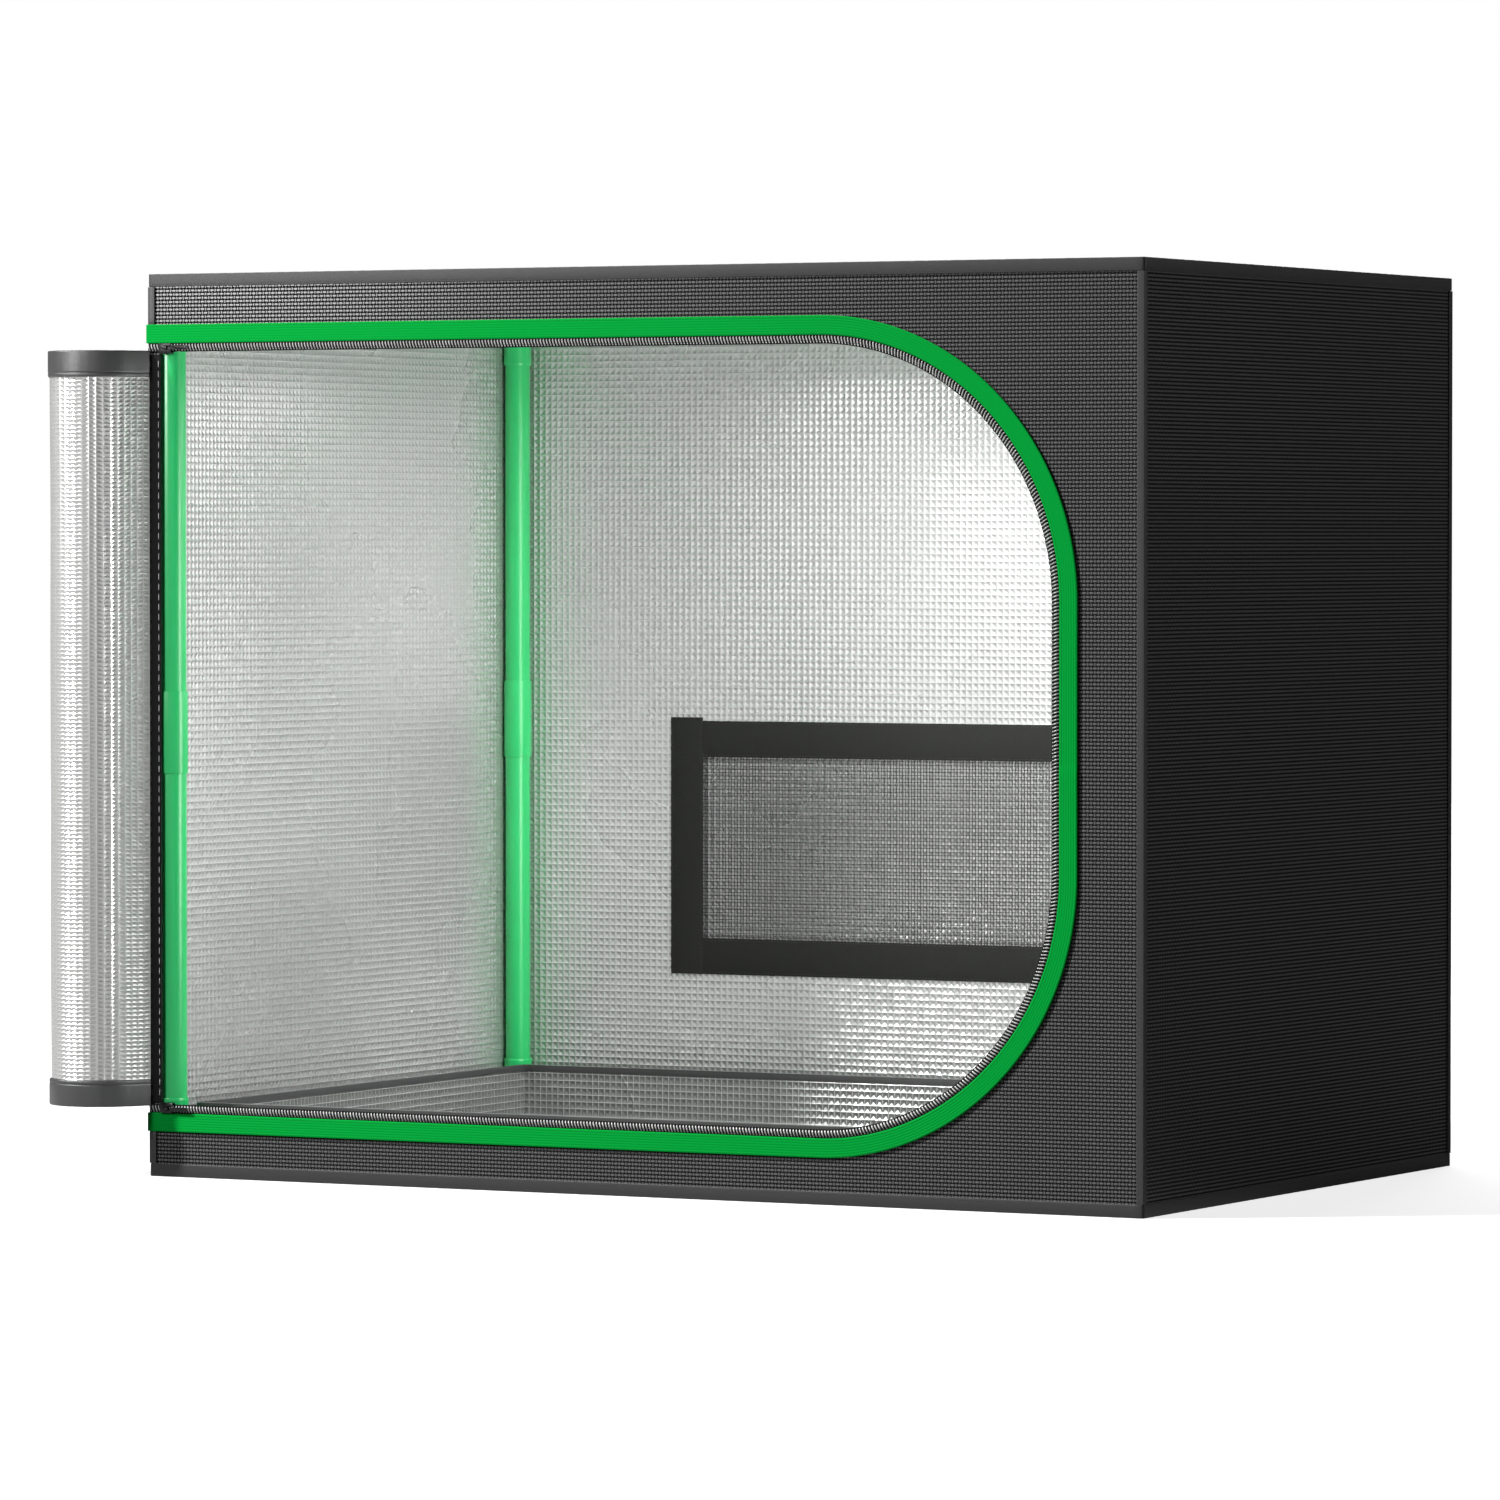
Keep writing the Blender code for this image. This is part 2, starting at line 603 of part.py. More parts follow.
def roll_stations():
    # The rolled cloth seen from above: its length from the hinge, the angle about the roll's axis
    # and the radius. The cloth touches the roll in front and winds inward at a steady pitch.
    angle = -math.acos(ROLL_RADIUS / ROLL_OFFSET)
    radius = ROLL_RADIUS
    length = math.sqrt(ROLL_OFFSET**2 - ROLL_RADIUS**2)
    turn = math.tau / ROLL_STEPS
    stations = [(length, angle, radius)]
    while length < DOOR_WIDTH:
        step = min(turn, (DOOR_WIDTH - length) / radius + turn / ROLL_STEPS)
        length = min(length + radius * step, DOOR_WIDTH)
        angle -= step
        radius -= ROLL_PITCH * step / math.tau
        stations.append((length, angle, radius))
    return stations


def door_drop(length):
    # How far the door's rounded corner lies below its top edge, at this distance from the hinge.
    past = min(max(length - (DOOR_WIDTH - DOOR_RADIUS), 0), DOOR_RADIUS)
    return DOOR_RADIUS - math.sqrt(DOOR_RADIUS**2 - past**2)


def rolled_sheet(name, rows, thickness, finish):
    # Rows of plan point, low and high make the cloth's middle surface, which is then thickened.
    bm = bmesh.new()
    verts = [(bm.verts.new((x, y, low)), bm.verts.new((x, y, high))) for x, y, low, high in rows]
    for (low_a, high_a), (low_b, high_b) in zip(verts, verts[1:]):
        bm.faces.new((low_a, low_b, high_b, high_a))
    sheet = add_object(name, bm, finish, smooth=True)
    wall = sheet.modifiers.new("cloth", "SOLIDIFY")
    wall.thickness = thickness
    wall.offset = 0
    return sheet


def build_rolled_door():
    axis_x = HINGE_X - ROLL_OFFSET
    body_low = DOOR_LOW + HEM_HEIGHT + GAP
    body_high = DOOR_HIGH - HEM_HEIGHT - GAP
    cloth = [(HINGE_X, HINGE_Y, body_low, body_high)]
    hem_top = []
    hem_bottom = []
    for length, angle, radius in roll_stations():
        drop = door_drop(length)
        x, y = axis_x + radius * math.cos(angle), HINGE_Y + radius * math.sin(angle)
        eased = door_drop(length + HEM_EASE)
        cloth.append((x, y, body_low + eased, body_high - eased))
        out = radius + HEM_SHIFT
        x, y = axis_x + out * math.cos(angle), HINGE_Y + out * math.sin(angle)
        hem_top.append((x, y, DOOR_HIGH - HEM_HEIGHT - drop, DOOR_HIGH - drop))
        hem_bottom.append((x, y, DOOR_LOW + drop, DOOR_LOW + HEM_HEIGHT + drop))
    pivot = add_pivot("door_hinge", (HINGE_X, HINGE_Y, 0))
    roll = rolled_sheet("door_roll", cloth, FABRIC, "mirror_film")
    top = rolled_sheet("door_hem_top", hem_top, HEM_THICK, "black_tape")
    bottom = rolled_sheet("door_hem_bottom", hem_bottom, HEM_THICK, "black_tape")
    hang_on(pivot, roll, top, bottom)


def build_slider(name, edge, inward):
    # A channel that wraps the zip from the opening's side, and a bail on its front plate.
    def at(inset):
        return edge + inward * inset

    half = SLIDER_LENGTH / 2
    section = (
        (COIL_START, SLIDER_PROUD),
        (SLIDER_END, SLIDER_PROUD),
        (SLIDER_END, -SLIDER_BACK),
        (COIL_START, -SLIDER_BACK),
        (COIL_START, 0),
        (SLIDER_WALL, 0),
        (SLIDER_WALL, SLIDER_FRONT),
        (COIL_START, SLIDER_FRONT),
    )
    rings = [[(x, proud(out), at(inset)) for inset, out in section] for x in (-half, half)]
    slider = add_object(f"zip_slider_{name}", loft(rings), "dark_metal")
    span, root = BAIL_SPAN / 2, SLIDER_PROUD - BAIL_ROOT
    under, over = SLIDER_PROUD + BAIL_RISE, SLIDER_PROUD + BAIL_RISE + BAIL_THICK
    arch = (
        (-span - BAIL_THICK, root),
        (-span - BAIL_THICK, over),
        (span + BAIL_THICK, over),
        (span + BAIL_THICK, root),
        (span, root),
        (span, under),
        (-span, under),
        (-span, root),
    )
    levels = (at(ZIP_LINE) - BAIL_WIDTH / 2, at(ZIP_LINE) + BAIL_WIDTH / 2)
    bail = add_helper(f"bail_{name}", loft([[(x, proud(out), z) for x, out in arch] for z in levels]))
    boolean(slider, bail, "UNION")

    half_width, half_thick = PULL_WIDTH / 2, PULL_THICK / 2
    low = (-half_thick, proud(PULL_PROUD) - half_thick, at(ZIP_LINE) - half_width)
    high = (PULL_LENGTH, proud(PULL_PROUD) + half_thick, at(ZIP_LINE) + half_width)
    plate = box(low, high)
    ends = [
        edge
        for edge in plate.edges
        if all(abs(vert.co.x - PULL_LENGTH) < GAP for vert in edge.verts)
        and abs(edge.verts[0].co.z - edge.verts[1].co.z) < GAP
    ]
    bmesh.ops.bevel(plate, geom=ends, offset=PULL_ROUND, segments=3, affect="EDGES", profile=0.5)
    pull = add_object(f"zip_pull_{name}", plate, "dark_metal")
    eye_half = BAIL_WIDTH / 2 + GAP
    eye_low = (half_thick, proud(PULL_PROUD) - CUT_OVERRUN, at(ZIP_LINE) - eye_half)
    eye_high = (half_thick + PULL_EYE, proud(PULL_PROUD) + CUT_OVERRUN, at(ZIP_LINE) + eye_half)
    eye = add_helper(f"pull_eye_{name}", box(eye_low, eye_high))
    boolean(pull, eye, "DIFFERENCE")

    carriage = add_pivot(f"zip_{name}_carriage", (0, 0, 0))
    pin = add_pivot(f"zip_{name}_pin", (0, proud(PULL_PROUD), at(ZIP_LINE)))
    hang_on(pin, pull, eye)
    hang_on(carriage, slider, bail, pin)
    carriage.location = (SLIDER_X, 0, 0)


def build_zip():
    build_slider("top", BAND_TOP, -1)
    build_slider("bottom", BAND_BOTTOM, 1)


def net_plate(half_width, half_height, low_y, high_y, middle_z):
    # A flat net: bars both ways with open cells between, one solid.
    def lines(half, cells):
        pitch = (2 * half - NET_BAR) / cells
        starts = [pitch * index - half for index in range(cells + 1)]
        return [edge for start in starts for edge in (start, start + NET_BAR)]

    columns, rows = lines(half_width, NET_COLUMNS), lines(half_height, NET_ROWS)
    bm = bmesh.new()
    points = [[bm.verts.new((x, low_y, middle_z + z)) for z in rows] for x in columns]
    for i in range(len(columns) - 1):
        for j in range(len(rows) - 1):
            if i % 2 and j % 2:
                continue
            bm.faces.new((points[i][j], points[i + 1][j], points[i + 1][j + 1], points[i][j + 1]))
    grown = bmesh.ops.extrude_face_region(bm, geom=bm.faces[:])
    moved = [item for item in grown["geom"] if isinstance(item, bmesh.types.BMVert)]
    bmesh.ops.translate(bm, verts=moved, vec=(0, high_y - low_y, 0))
    return bm


def build_window():
    def frame_round(section):
        return rect_loop(BORDER_HALF_WIDTH, BORDER_HALF_HEIGHT, section, upright=True, middle=WINDOW_MIDDLE)

    near = SKIN_Y - FABRIC - GAP
    far = near - BORDER_THICK
    border = [(0, near), (BORDER_WIDTH, near), (BORDER_WIDTH, far), (0, far)]
    add_object("window_border", frame_round(border), "black_tape")
    net_low = SKIN_Y - FABRIC
    net = net_plate(
        WINDOW_HALF_WIDTH + BORDER_LAP - GAP,
        WINDOW_HALF_HEIGHT + BORDER_LAP - GAP,
        net_low,
        net_low + NET_THICK,
        WINDOW_MIDDLE,
    )
    add_object("window_net", net, "black_net")
    near, far = SKIN_Y + GAP, SKIN_Y + GAP + HOOK_STRIP_THICK
    strip = [(0, near), (HOOK_STRIP_WIDTH, near), (HOOK_STRIP_WIDTH, far), (0, far)]
    add_object("flap_hook_strip", frame_round(strip), "black_tape")
    low = (-BORDER_HALF_WIDTH, FLAP_BACK, WINDOW_MIDDLE - BORDER_HALF_HEIGHT)
    high = (BORDER_HALF_WIDTH, FLAP_BACK + FLAP_THICK, WINDOW_MIDDLE + BORDER_HALF_HEIGHT)
    flap = add_object("window_flap", box(low, high), "black_canvas")
    hang_on(add_pivot("flap_hinge", (0, FLAP_BACK + FLAP_THICK / 2, FLAP_HINGE_Z)), flap)


def build_duct_sleeve():
    # A flange on the wall, then a sleeve that flutes more and more towards its drawn-in hem.
    base, root = GAP, GAP + DUCT_CLOTH
    hem_start = DUCT_LENGTH - DUCT_HEM
    outer = [(DUCT_RADIUS + DUCT_FLANGE, base), (DUCT_RADIUS + DUCT_FLANGE, root)]
    inner = []
    for step in range(SLEEVE_RINGS + 1):
        share = step / SLEEVE_RINGS
        radius = DUCT_RADIUS - DUCT_DRAW_IN * share**2
        z = root + (hem_start - root) * share
        outer.append((radius, z))
        inner.append((radius - DUCT_CLOTH, z if step else base))
    hem_radius = DUCT_RADIUS - DUCT_DRAW_IN
    swollen = hem_radius + DUCT_HEM_SWELL
    outer += [(swollen, hem_start + DUCT_CLOTH), (swollen, DUCT_LENGTH)]
    inner.append((hem_radius - DUCT_CLOTH, DUCT_LENGTH))
    bm = spun(outer + inner[::-1], FLUTES * STEPS_PER_FLUTE)
    for vert in bm.verts:
        share = max(vert.co.z - root, 0) / (DUCT_LENGTH - root)
        angle = math.atan2(vert.co.y, vert.co.x)
        radius = math.hypot(vert.co.x, vert.co.y)
        swing = 1 + FLUTE_DEPTH / radius * share * math.cos(FLUTES * angle)
        vert.co.x *= swing
        vert.co.y *= swing
    sleeve = add_object("duct_sleeve", bm, "black_canvas", smooth=True)
    sleeve.location = (DUCT_X, SKIN_Y, DUCT_Z)
    sleeve.rotation_euler = (-math.pi / 2, 0, 0)


def build_floor_tray():
    inside_x, inside_y = TRAY_HALF_X - FABRIC, TRAY_HALF_Y - FABRIC
    tray = rect_tower(
        [
            (TRAY_HALF_X, TRAY_HALF_Y, TRAY_LOW),
            (TRAY_HALF_X, TRAY_HALF_Y, TRAY_HIGH),
            (inside_x, inside_y, TRAY_HIGH),
            (inside_x, inside_y, TRAY_LOW + FABRIC),
        ]
    )
    tray = add_object("floor_tray", tray, "mirror_film")
    # A folded tape over the rim, from outside over the top to inside.
    out, lid = -GAP - TRAY_BINDING, TRAY_HIGH + GAP
    inside = FABRIC + GAP
    foot = TRAY_HIGH - TRAY_BINDING_DROP
    profile = [
        (out, foot),
        (out, lid + TRAY_BINDING),
        (inside + TRAY_BINDING, lid + TRAY_BINDING),
        (inside + TRAY_BINDING, foot),
        (inside, foot),
        (inside, lid),
        (-GAP, lid),
        (-GAP, foot),
    ]
    rim = add_object("floor_tray_binding", rect_loop(TRAY_HALF_X, TRAY_HALF_Y, profile), "black_tape")
    hang_on(add_pivot("floor_tray_lift", (0, 0, TRAY_LOW)), tray, rim)


def main():
    clear_scene()
    build_posts()
    build_corners()
    build_rails()
    build_hanging_bars()
    build_panels()
    build_bindings()
    build_door_edge()
    build_rolled_door()
    build_zip()
    build_window()
    build_duct_sleeve()
    build_floor_tray()


main()
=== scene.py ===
# Looks of the indoor grow tent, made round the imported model. Metres, +Z up, the door faces -Y.
# Cloth pieces carry a UV map, "cloth", measured in millimetres of cloth. The look dictionaries are in millimetres.
import math

import bmesh
import bpy
import numpy as np
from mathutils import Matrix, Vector


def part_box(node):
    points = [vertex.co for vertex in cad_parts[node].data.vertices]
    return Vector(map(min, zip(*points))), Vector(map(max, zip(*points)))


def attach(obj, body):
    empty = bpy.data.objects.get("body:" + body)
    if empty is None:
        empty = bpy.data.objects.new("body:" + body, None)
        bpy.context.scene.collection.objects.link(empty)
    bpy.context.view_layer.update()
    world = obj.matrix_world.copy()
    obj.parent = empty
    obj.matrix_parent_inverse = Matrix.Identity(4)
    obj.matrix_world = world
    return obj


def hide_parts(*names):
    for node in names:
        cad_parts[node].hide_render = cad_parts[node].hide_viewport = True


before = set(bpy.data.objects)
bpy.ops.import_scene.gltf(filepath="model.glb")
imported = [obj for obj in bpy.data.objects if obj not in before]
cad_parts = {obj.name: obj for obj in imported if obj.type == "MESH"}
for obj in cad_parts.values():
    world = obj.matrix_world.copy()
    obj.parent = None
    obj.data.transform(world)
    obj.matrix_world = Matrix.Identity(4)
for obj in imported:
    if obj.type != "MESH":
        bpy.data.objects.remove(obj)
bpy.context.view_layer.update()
mm = 0.001
corners = {"front_left": (-1, -1), "front_right": (1, -1), "back_left": (-1, 1), "back_right": (1, 1)}


def span(node):
    low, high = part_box(node)
    return np.array(low), np.array(high)


frontLow, frontHigh = span("skin_front")
frontY = frontLow[1]  # outer face of the front panel

# Camera and studio

camera = {"place": (3.1655, -6.0593, 0.5321), "aim": (-0.46890, 0.88287, -0.02614), "lens": 195.73}
studio = {
    "ambient": 0.02,
    "mirror": 0.09,
    "mirrorBehind": 0.02,
    "mirrorBeside": 0.4,
    "card": 0.9,
    "cardWay": (0.26, -0.966),
    "behindWay": (0.35, 0.94),
    "besideWay": (0.956, -0.29),
    "floorGlow": 0.8,
    "floorMirror": 0.5,
    "floorBehind": 0.03,
    "floorBounce": 0.06,
    "floorSeen": 0.4,
    "floorHalf": 9.0,
    "floorLevel": -0.2 * mm,
}
# Each light: kind, place, the point it looks at, power, and size (for the sun, its angle in degrees)
lights = {
    "key": ("SUN", (-1.92, -1.32, 1.89), (0, 0, 0), 5.1, 4),
    "kick": ("AREA", (-0.99, -1.3, 0.88), (-0.3, -0.3, 0.65), 10.0, (0.2, 0.2)),
    "side": ("AREA", (2.6, 1.4, 1.2), (0, 0.1, 0.35), 12, (1.4, 1.4)),
    "back": ("AREA", (-0.7, 2.8, 1.3), (0, 0.1, 0.35), 60, (1.4, 1.4)),
    "ceiling": ("AREA", (0.1, 0.02, 0.675), (0.1, 0.02, 0), 3.1, (0.42, 0.3)),
    "inner": ("POINT", (-0.02, -0.14, 0.5), None, 0.9, 0.18),
    "strip": ("AREA", (0.41, -0.255, 0.38), (-0.45, -0.05, 0.36), 4.2, (0.04, 0.5)),
}
unseenLights = ("ceiling", "inner", "strip")


def addThing(name, data, place=(0, 0, 0), direction=None):
    thing = bpy.data.objects.new(name, data)
    thing.location = place
    if direction is not None:
        thing.rotation_euler = Vector(direction).to_track_quat("-Z", "Y").to_euler()
    bpy.context.scene.collection.objects.link(thing)
    return thing


def addLights():
    for name, (kind, place, target, power, size) in lights.items():
        data = bpy.data.lights.new(name, kind)
        data.energy = power
        if kind == "SUN":
            data.angle = math.radians(size)
        elif kind == "POINT":
            data.shadow_soft_size = size
        else:
            data.shape = "RECTANGLE"
            data.size, data.size_y = size
        light = addThing(name, data, place, None if target is None else np.array(target) - np.array(place))
        if name in unseenLights:
            light.visible_camera = False


def addCamera():
    data = bpy.data.cameras.new("camera")
    data.lens, data.sensor_width = camera["lens"], 36
    data.clip_start, data.clip_end = 0.1, 100
    bpy.context.scene.camera = addThing("camera", data, camera["place"], camera["aim"])


# Nodes: small helpers that keep the materials short


def put(tree, kind, **settings):
    node = tree.nodes.new(kind)
    for name, value in settings.items():
        setattr(node, name, value)
    return node


def feed(tree, socket, value):
    if isinstance(value, bpy.types.NodeSocket):
        tree.links.new(value, socket)
    else:
        socket.default_value = value


def feedAll(tree, node, values):
    for name, value in values.items():
        feed(tree, node.inputs[name], value)


def calc(tree, operation, *values):
    node = put(tree, "ShaderNodeMath", operation=operation)
    for socket, value in zip(node.inputs, values):
        feed(tree, socket, value)
    return node.outputs[0]


def maths(tree):
    return lambda operation, *values: calc(tree, operation, *values)


def blendColour(tree, share, first, second, kind="MIX"):
    node = put(tree, "ShaderNodeMix", data_type="RGBA", blend_type=kind)
    for number, value in ((0, share), (6, first), (7, second)):
        feed(tree, node.inputs[number], value)
    return node.outputs[2]


def ramp(tree, value, low, high, fromLow=0.0, fromHigh=1.0):
    # Carries fromLow..fromHigh over to low..high in a smooth step, and holds the ends.
    node = put(tree, "ShaderNodeMapRange", interpolation_type="SMOOTHSTEP", clamp=True)
    for socket, amount in zip(node.inputs, (value, fromLow, fromHigh, low, high)):
        feed(tree, socket, amount)
    return node.outputs[0]


def splitPlace(tree, place):
    split = put(tree, "ShaderNodeSeparateXYZ")
    tree.links.new(place, split.inputs[0])
    return split.outputs


def towards(tree, parts, way):
    # How far a place lies along a level direction.
    return calc(tree, "ADD", *(calc(tree, "MULTIPLY", parts[axis], way[axis]) for axis in (0, 1)))


def noise(tree, place, scale, detail):
    node = put(tree, "ShaderNodeTexNoise")
    feedAll(tree, node, {"Vector": place, "Scale": scale, "Detail": detail})
    return node.outputs[0]


def newGroup(name, place, sizes, results):
    tree = bpy.data.node_groups.new(name, "ShaderNodeTree")
    tree.interface.new_socket(place, in_out="INPUT", socket_type="NodeSocketVector")
    for side, names in (("INPUT", sizes), ("OUTPUT", results)):
        for socketName in names:
            tree.interface.new_socket(socketName, in_out=side, socket_type="NodeSocketFloat")
    return tree, put(tree, "NodeGroupInput").outputs, put(tree, "NodeGroupOutput")


def useGroup(tree, group, **inputs):
    node = put(tree, "ShaderNodeGroup", node_tree=group)
    feedAll(tree, node, inputs)
    return node.outputs


def makeBasketWeave():
    # Plain weave of round threads, with u, v counted in threads. A thread's roundness is
    # sqrt(1 - (offset / halfThread)^3), and it lies over or under as cos(pi (along - 0.5 - its number)).
    # The upper of the two threads shows; where neither reaches, there is a pore.
    halfThread = 0.34
    tree, given, result = newGroup("basketWeave", "Cloth", ["Pitch"], ["Height", "Crown"])
    do, split = maths(tree), splitPlace(tree, given["Cloth"])
    alongs = [do("DIVIDE", split[axis], given["Pitch"]) for axis in (0, 1)]
    heights = []
    for axis, swing, level in ((0, 0.28, 0.58), (1, -0.25, 0.75)):
        offset = do("SUBTRACT", do("FRACT", alongs[axis]), 0.5)
        reach = do("POWER", do("DIVIDE", do("ABSOLUTE", offset), halfThread), 3.0)
        roundness = do("SQRT", do("MAXIMUM", do("SUBTRACT", 1.0, reach), 0.0))
        phase = do("SUBTRACT", alongs[1 - axis], do("ADD", do("FLOOR", alongs[axis]), 0.5))
        wave = do("COSINE", do("MULTIPLY", phase, math.pi))
        heights.append(do("MULTIPLY", roundness, do("MULTIPLY_ADD", wave, swing, level)))
    height = do("MAXIMUM", *heights)
    feedAll(tree, result, {"Height": height, "Crown": ramp(tree, height, 0.0, 1.0, 0.45, 0.92)})
    return tree


def makeTwill():
    # Twill: slanting ridges, cut across by fine threads.
    tree, given, result = newGroup("twillTape", "Cloth", ["Pitch"], ["Height"])
    do, split = maths(tree), splitPlace(tree, given["Cloth"])
    along, across = (do("DIVIDE", split[axis], given["Pitch"]) for axis in (0, 1))
    slant = do("MULTIPLY", do("ADD", along, across), math.tau)
    ridge = do("MULTIPLY_ADD", do("SINE", slant), 0.35, 0.5)
    thread = do("SINE", do("MULTIPLY", along, 2 * math.tau))
    feedAll(tree, result, {"Height": do("MULTIPLY_ADD", thread, 0.15, ridge)})
    return tree


def makeToneDrift():
    # Slow drift of tone over the whole piece, and fine grain of dust and fibre.
    tree, given, result = newGroup("toneDrift", "Place", ["Size", "Grain"], ["Drift", "Speck"])
    slow = noise(tree, given["Place"], given["Size"], 3)
    fine = noise(tree, given["Place"], given["Grain"], 2)
    feedAll(tree, result, {
        "Drift": ramp(tree, slow, 0.0, 1.0, 0.3, 0.7),
        "Speck": ramp(tree, fine, 0.0, 1.0, 0.35, 0.65),
    })
    return tree


def makeEmbossLines():
    # Thin lines between the embossed squares, and the slight crinkle of the film.
    tree, given, result = newGroup("embossLines", "Cloth", ["Cell"], ["Line", "Crinkle"])
    do, split = maths(tree), splitPlace(tree, given["Cloth"])
    edges = []
    for axis in (0, 1):
        along = do("DIVIDE", split[axis], given["Cell"])
        edges.append(do("ABSOLUTE", do("SUBTRACT", do("FRACT", along), 0.5)))
    feedAll(tree, result, {
        "Line": ramp(tree, do("MAXIMUM", *edges), 0.0, 1.0, 0.42, 0.47),
        "Crinkle": noise(tree, given["Cloth"], 0.03, 2),
    })
    return tree


basketWeave, twillTape, toneDrift, embossLines = makeBasketWeave(), makeTwill(), makeToneDrift(), makeEmbossLines()


def grey(level):
    return (level, level, level, 1)


def newMaterial(name, roughness, metallic=0.0, specular=0.5):
    material = bpy.data.materials.new(name)
    material.use_nodes = True
    tree = material.node_tree
    shader = tree.nodes["Principled BSDF"]
    feedAll(tree, shader, {"Roughness": roughness, "Metallic": metallic, "Specular IOR Level": specular})
    return material, tree, shader


def clothPlace(tree):
    return put(tree, "ShaderNodeUVMap", uv_map="cloth").outputs[0]


def objectPlace(tree):
    return put(tree, "ShaderNodeTexCoord").outputs["Object"]


def toneOf(tree, size, grain):
    return useGroup(tree, toneDrift, Place=objectPlace(tree), Size=size, Grain=grain)


def fadedColour(tree, colour, share, shade, mask):
    # The colour where the mask is 1, and the colour taken down by a share of the shade where it is 0.
    return blendColour(tree, mask, blendColour(tree, share, colour, shade, "MULTIPLY"), colour)


def addBump(tree, shader, height, distance, strength=1.0):
    # The distance is in millimetres.
    bump = put(tree, "ShaderNodeBump")
    feedAll(tree, bump, {"Distance": distance * mm, "Strength": strength, "Height": height})
    tree.links.new(bump.outputs[0], shader.inputs["Normal"])


# The gap colour is painted shade: the pores between the threads are painted near black.
canvasLook = {"gap": grey(0.001), "thread": (0.115, 0.115, 0.116, 1), "pitch": 3.1, "depth": 0.5}


def makeCanvas():
    material, tree, shader = newMaterial("canvas", 0.6, specular=0.15)
    weave = useGroup(tree, basketWeave, Cloth=clothPlace(tree), Pitch=canvasLook["pitch"])
    # The colour follows the threads' height, darker down their sides and near black in the pores: painted shade between
    # the threads.
    colour = blendColour(tree, weave["Crown"], canvasLook["gap"], canvasLook["thread"])
    shade = ramp(tree, toneOf(tree, 6.0, 900.0)["Speck"], 0.0, 1.0)
    # The coated yarn shines on its crests alone.
    feedAll(tree, shader, {
        "Base Color": fadedColour(tree, colour, 0.35, grey(0.5), shade),
        "Roughness": ramp(tree, weave["Crown"], 0.9, 0.5),
        "Coat Weight": ramp(tree, weave["Crown"], 0.0, 1.0, 0.35, 1.0),
        "Coat Roughness": 0.32,
    })
    addBump(tree, shader, weave["Height"], canvasLook["depth"])
    return material


filmLook = {
    "face": (0.58, 0.58, 0.575, 1),
    # The paler line colour on the ridges between the pits is a painted highlight.
    "line": (0.64, 0.64, 0.635, 1),
    # The tray's face is the film's colour painted darker: a painted shade.
    "trayShadedFace": (0.26, 0.265, 0.26, 1),
    "dull": (0.6, 0.62, 0.6, 1),
    "cell": 5.8,
    "crinkle": 0.4,
}


def makeFilm(name, face):
    material, tree, shader = newMaterial(name, 0.3, metallic=0.6)
    lines = useGroup(tree, embossLines, Cloth=clothPlace(tree), Cell=filmLook["cell"])
    drift = toneOf(tree, 5.0, 700.0)["Drift"]
    # Paler on the ridges between the pits: a painted highlight on the crests.
    colour = blendColour(tree, lines["Line"], face, filmLook["line"])
    feedAll(tree, shader, {
        "Base Color": fadedColour(tree, colour, 0.06, filmLook["dull"], drift),
        "Roughness": ramp(tree, drift, 0.29, 0.25),
    })
    addBump(tree, shader, lines["Crinkle"], filmLook["crinkle"], 0.5)
    return material


def makeTape(name, colour, pitch, roughness, specular, depth, sheen=0.0):
    # Woven tape of one colour, with twill ridges. Its colour is darker in the twill's low parts: painted shade in the
    # grooves.
    material, tree, shader = newMaterial(name, roughness, specular=specular)
    twill = useGroup(tree, twillTape, Cloth=clothPlace(tree), Pitch=pitch)["Height"]
    # The grooves' darker colour is painted shade.
    dark = tuple(0.45 * part for part in colour) + (1,)
    woven = blendColour(tree, ramp(tree, twill, 0.0, 1.0, 0.1, 0.9), dark, colour + (1,))
    feedAll(tree, shader, {
        "Base Color": fadedColour(tree, woven, 0.25, grey(0.6), toneOf(tree, 9.0, 1200.0)["Speck"]),
        "Sheen Weight": sheen,
        "Sheen Roughness": 0.45,
    })
    addBump(tree, shader, twill, depth)
    return material


def makeWebbing():
    # Bright green ribbed webbing. The ribs are in the mesh, the cross threads in the bump. Its colour is deeper in the
    # threads' low parts: painted shade in the grooves.
    material, tree, shader = newMaterial("greenWebbing", 0.8, specular=0.03)
    twill = useGroup(tree, twillTape, Cloth=clothPlace(tree), Pitch=1.4)["Height"]
    bright, deep = (0.0006, 0.385, 0.048, 1), (0.0005, 0.31, 0.037, 1)
    # deep is painted shade in the grooves between the cross threads.
    woven = blendColour(tree, ramp(tree, twill, 0.0, 1.0, 0.0, 0.7), deep, bright)
    speck = toneOf(tree, 14.0, 1500.0)["Speck"]
    feedAll(tree, shader, {"Base Color": fadedColour(tree, woven, 0.2, grey(0.8), speck)})
    addBump(tree, shader, twill, 0.05)
    return material


def makeEnamel(name, colour, roughness):
    # Sprayed enamel on steel tube: a faint orange peel and fine dulling.
    material, tree, shader = newMaterial(name, roughness)
    tone = toneOf(tree, 18.0, 260.0)
    feedAll(tree, shader, {
        "Base Color": fadedColour(tree, colour, 0.12, grey(0.7), tone["Drift"]),
        "Roughness": ramp(tree, tone["Speck"], roughness - 0.02, roughness + 0.04),
        "Coat Weight": 0.3,
        "Coat Roughness": 0.28,
    })
    addBump(tree, shader, tone["Speck"], 0.004, 0.2)
    return material


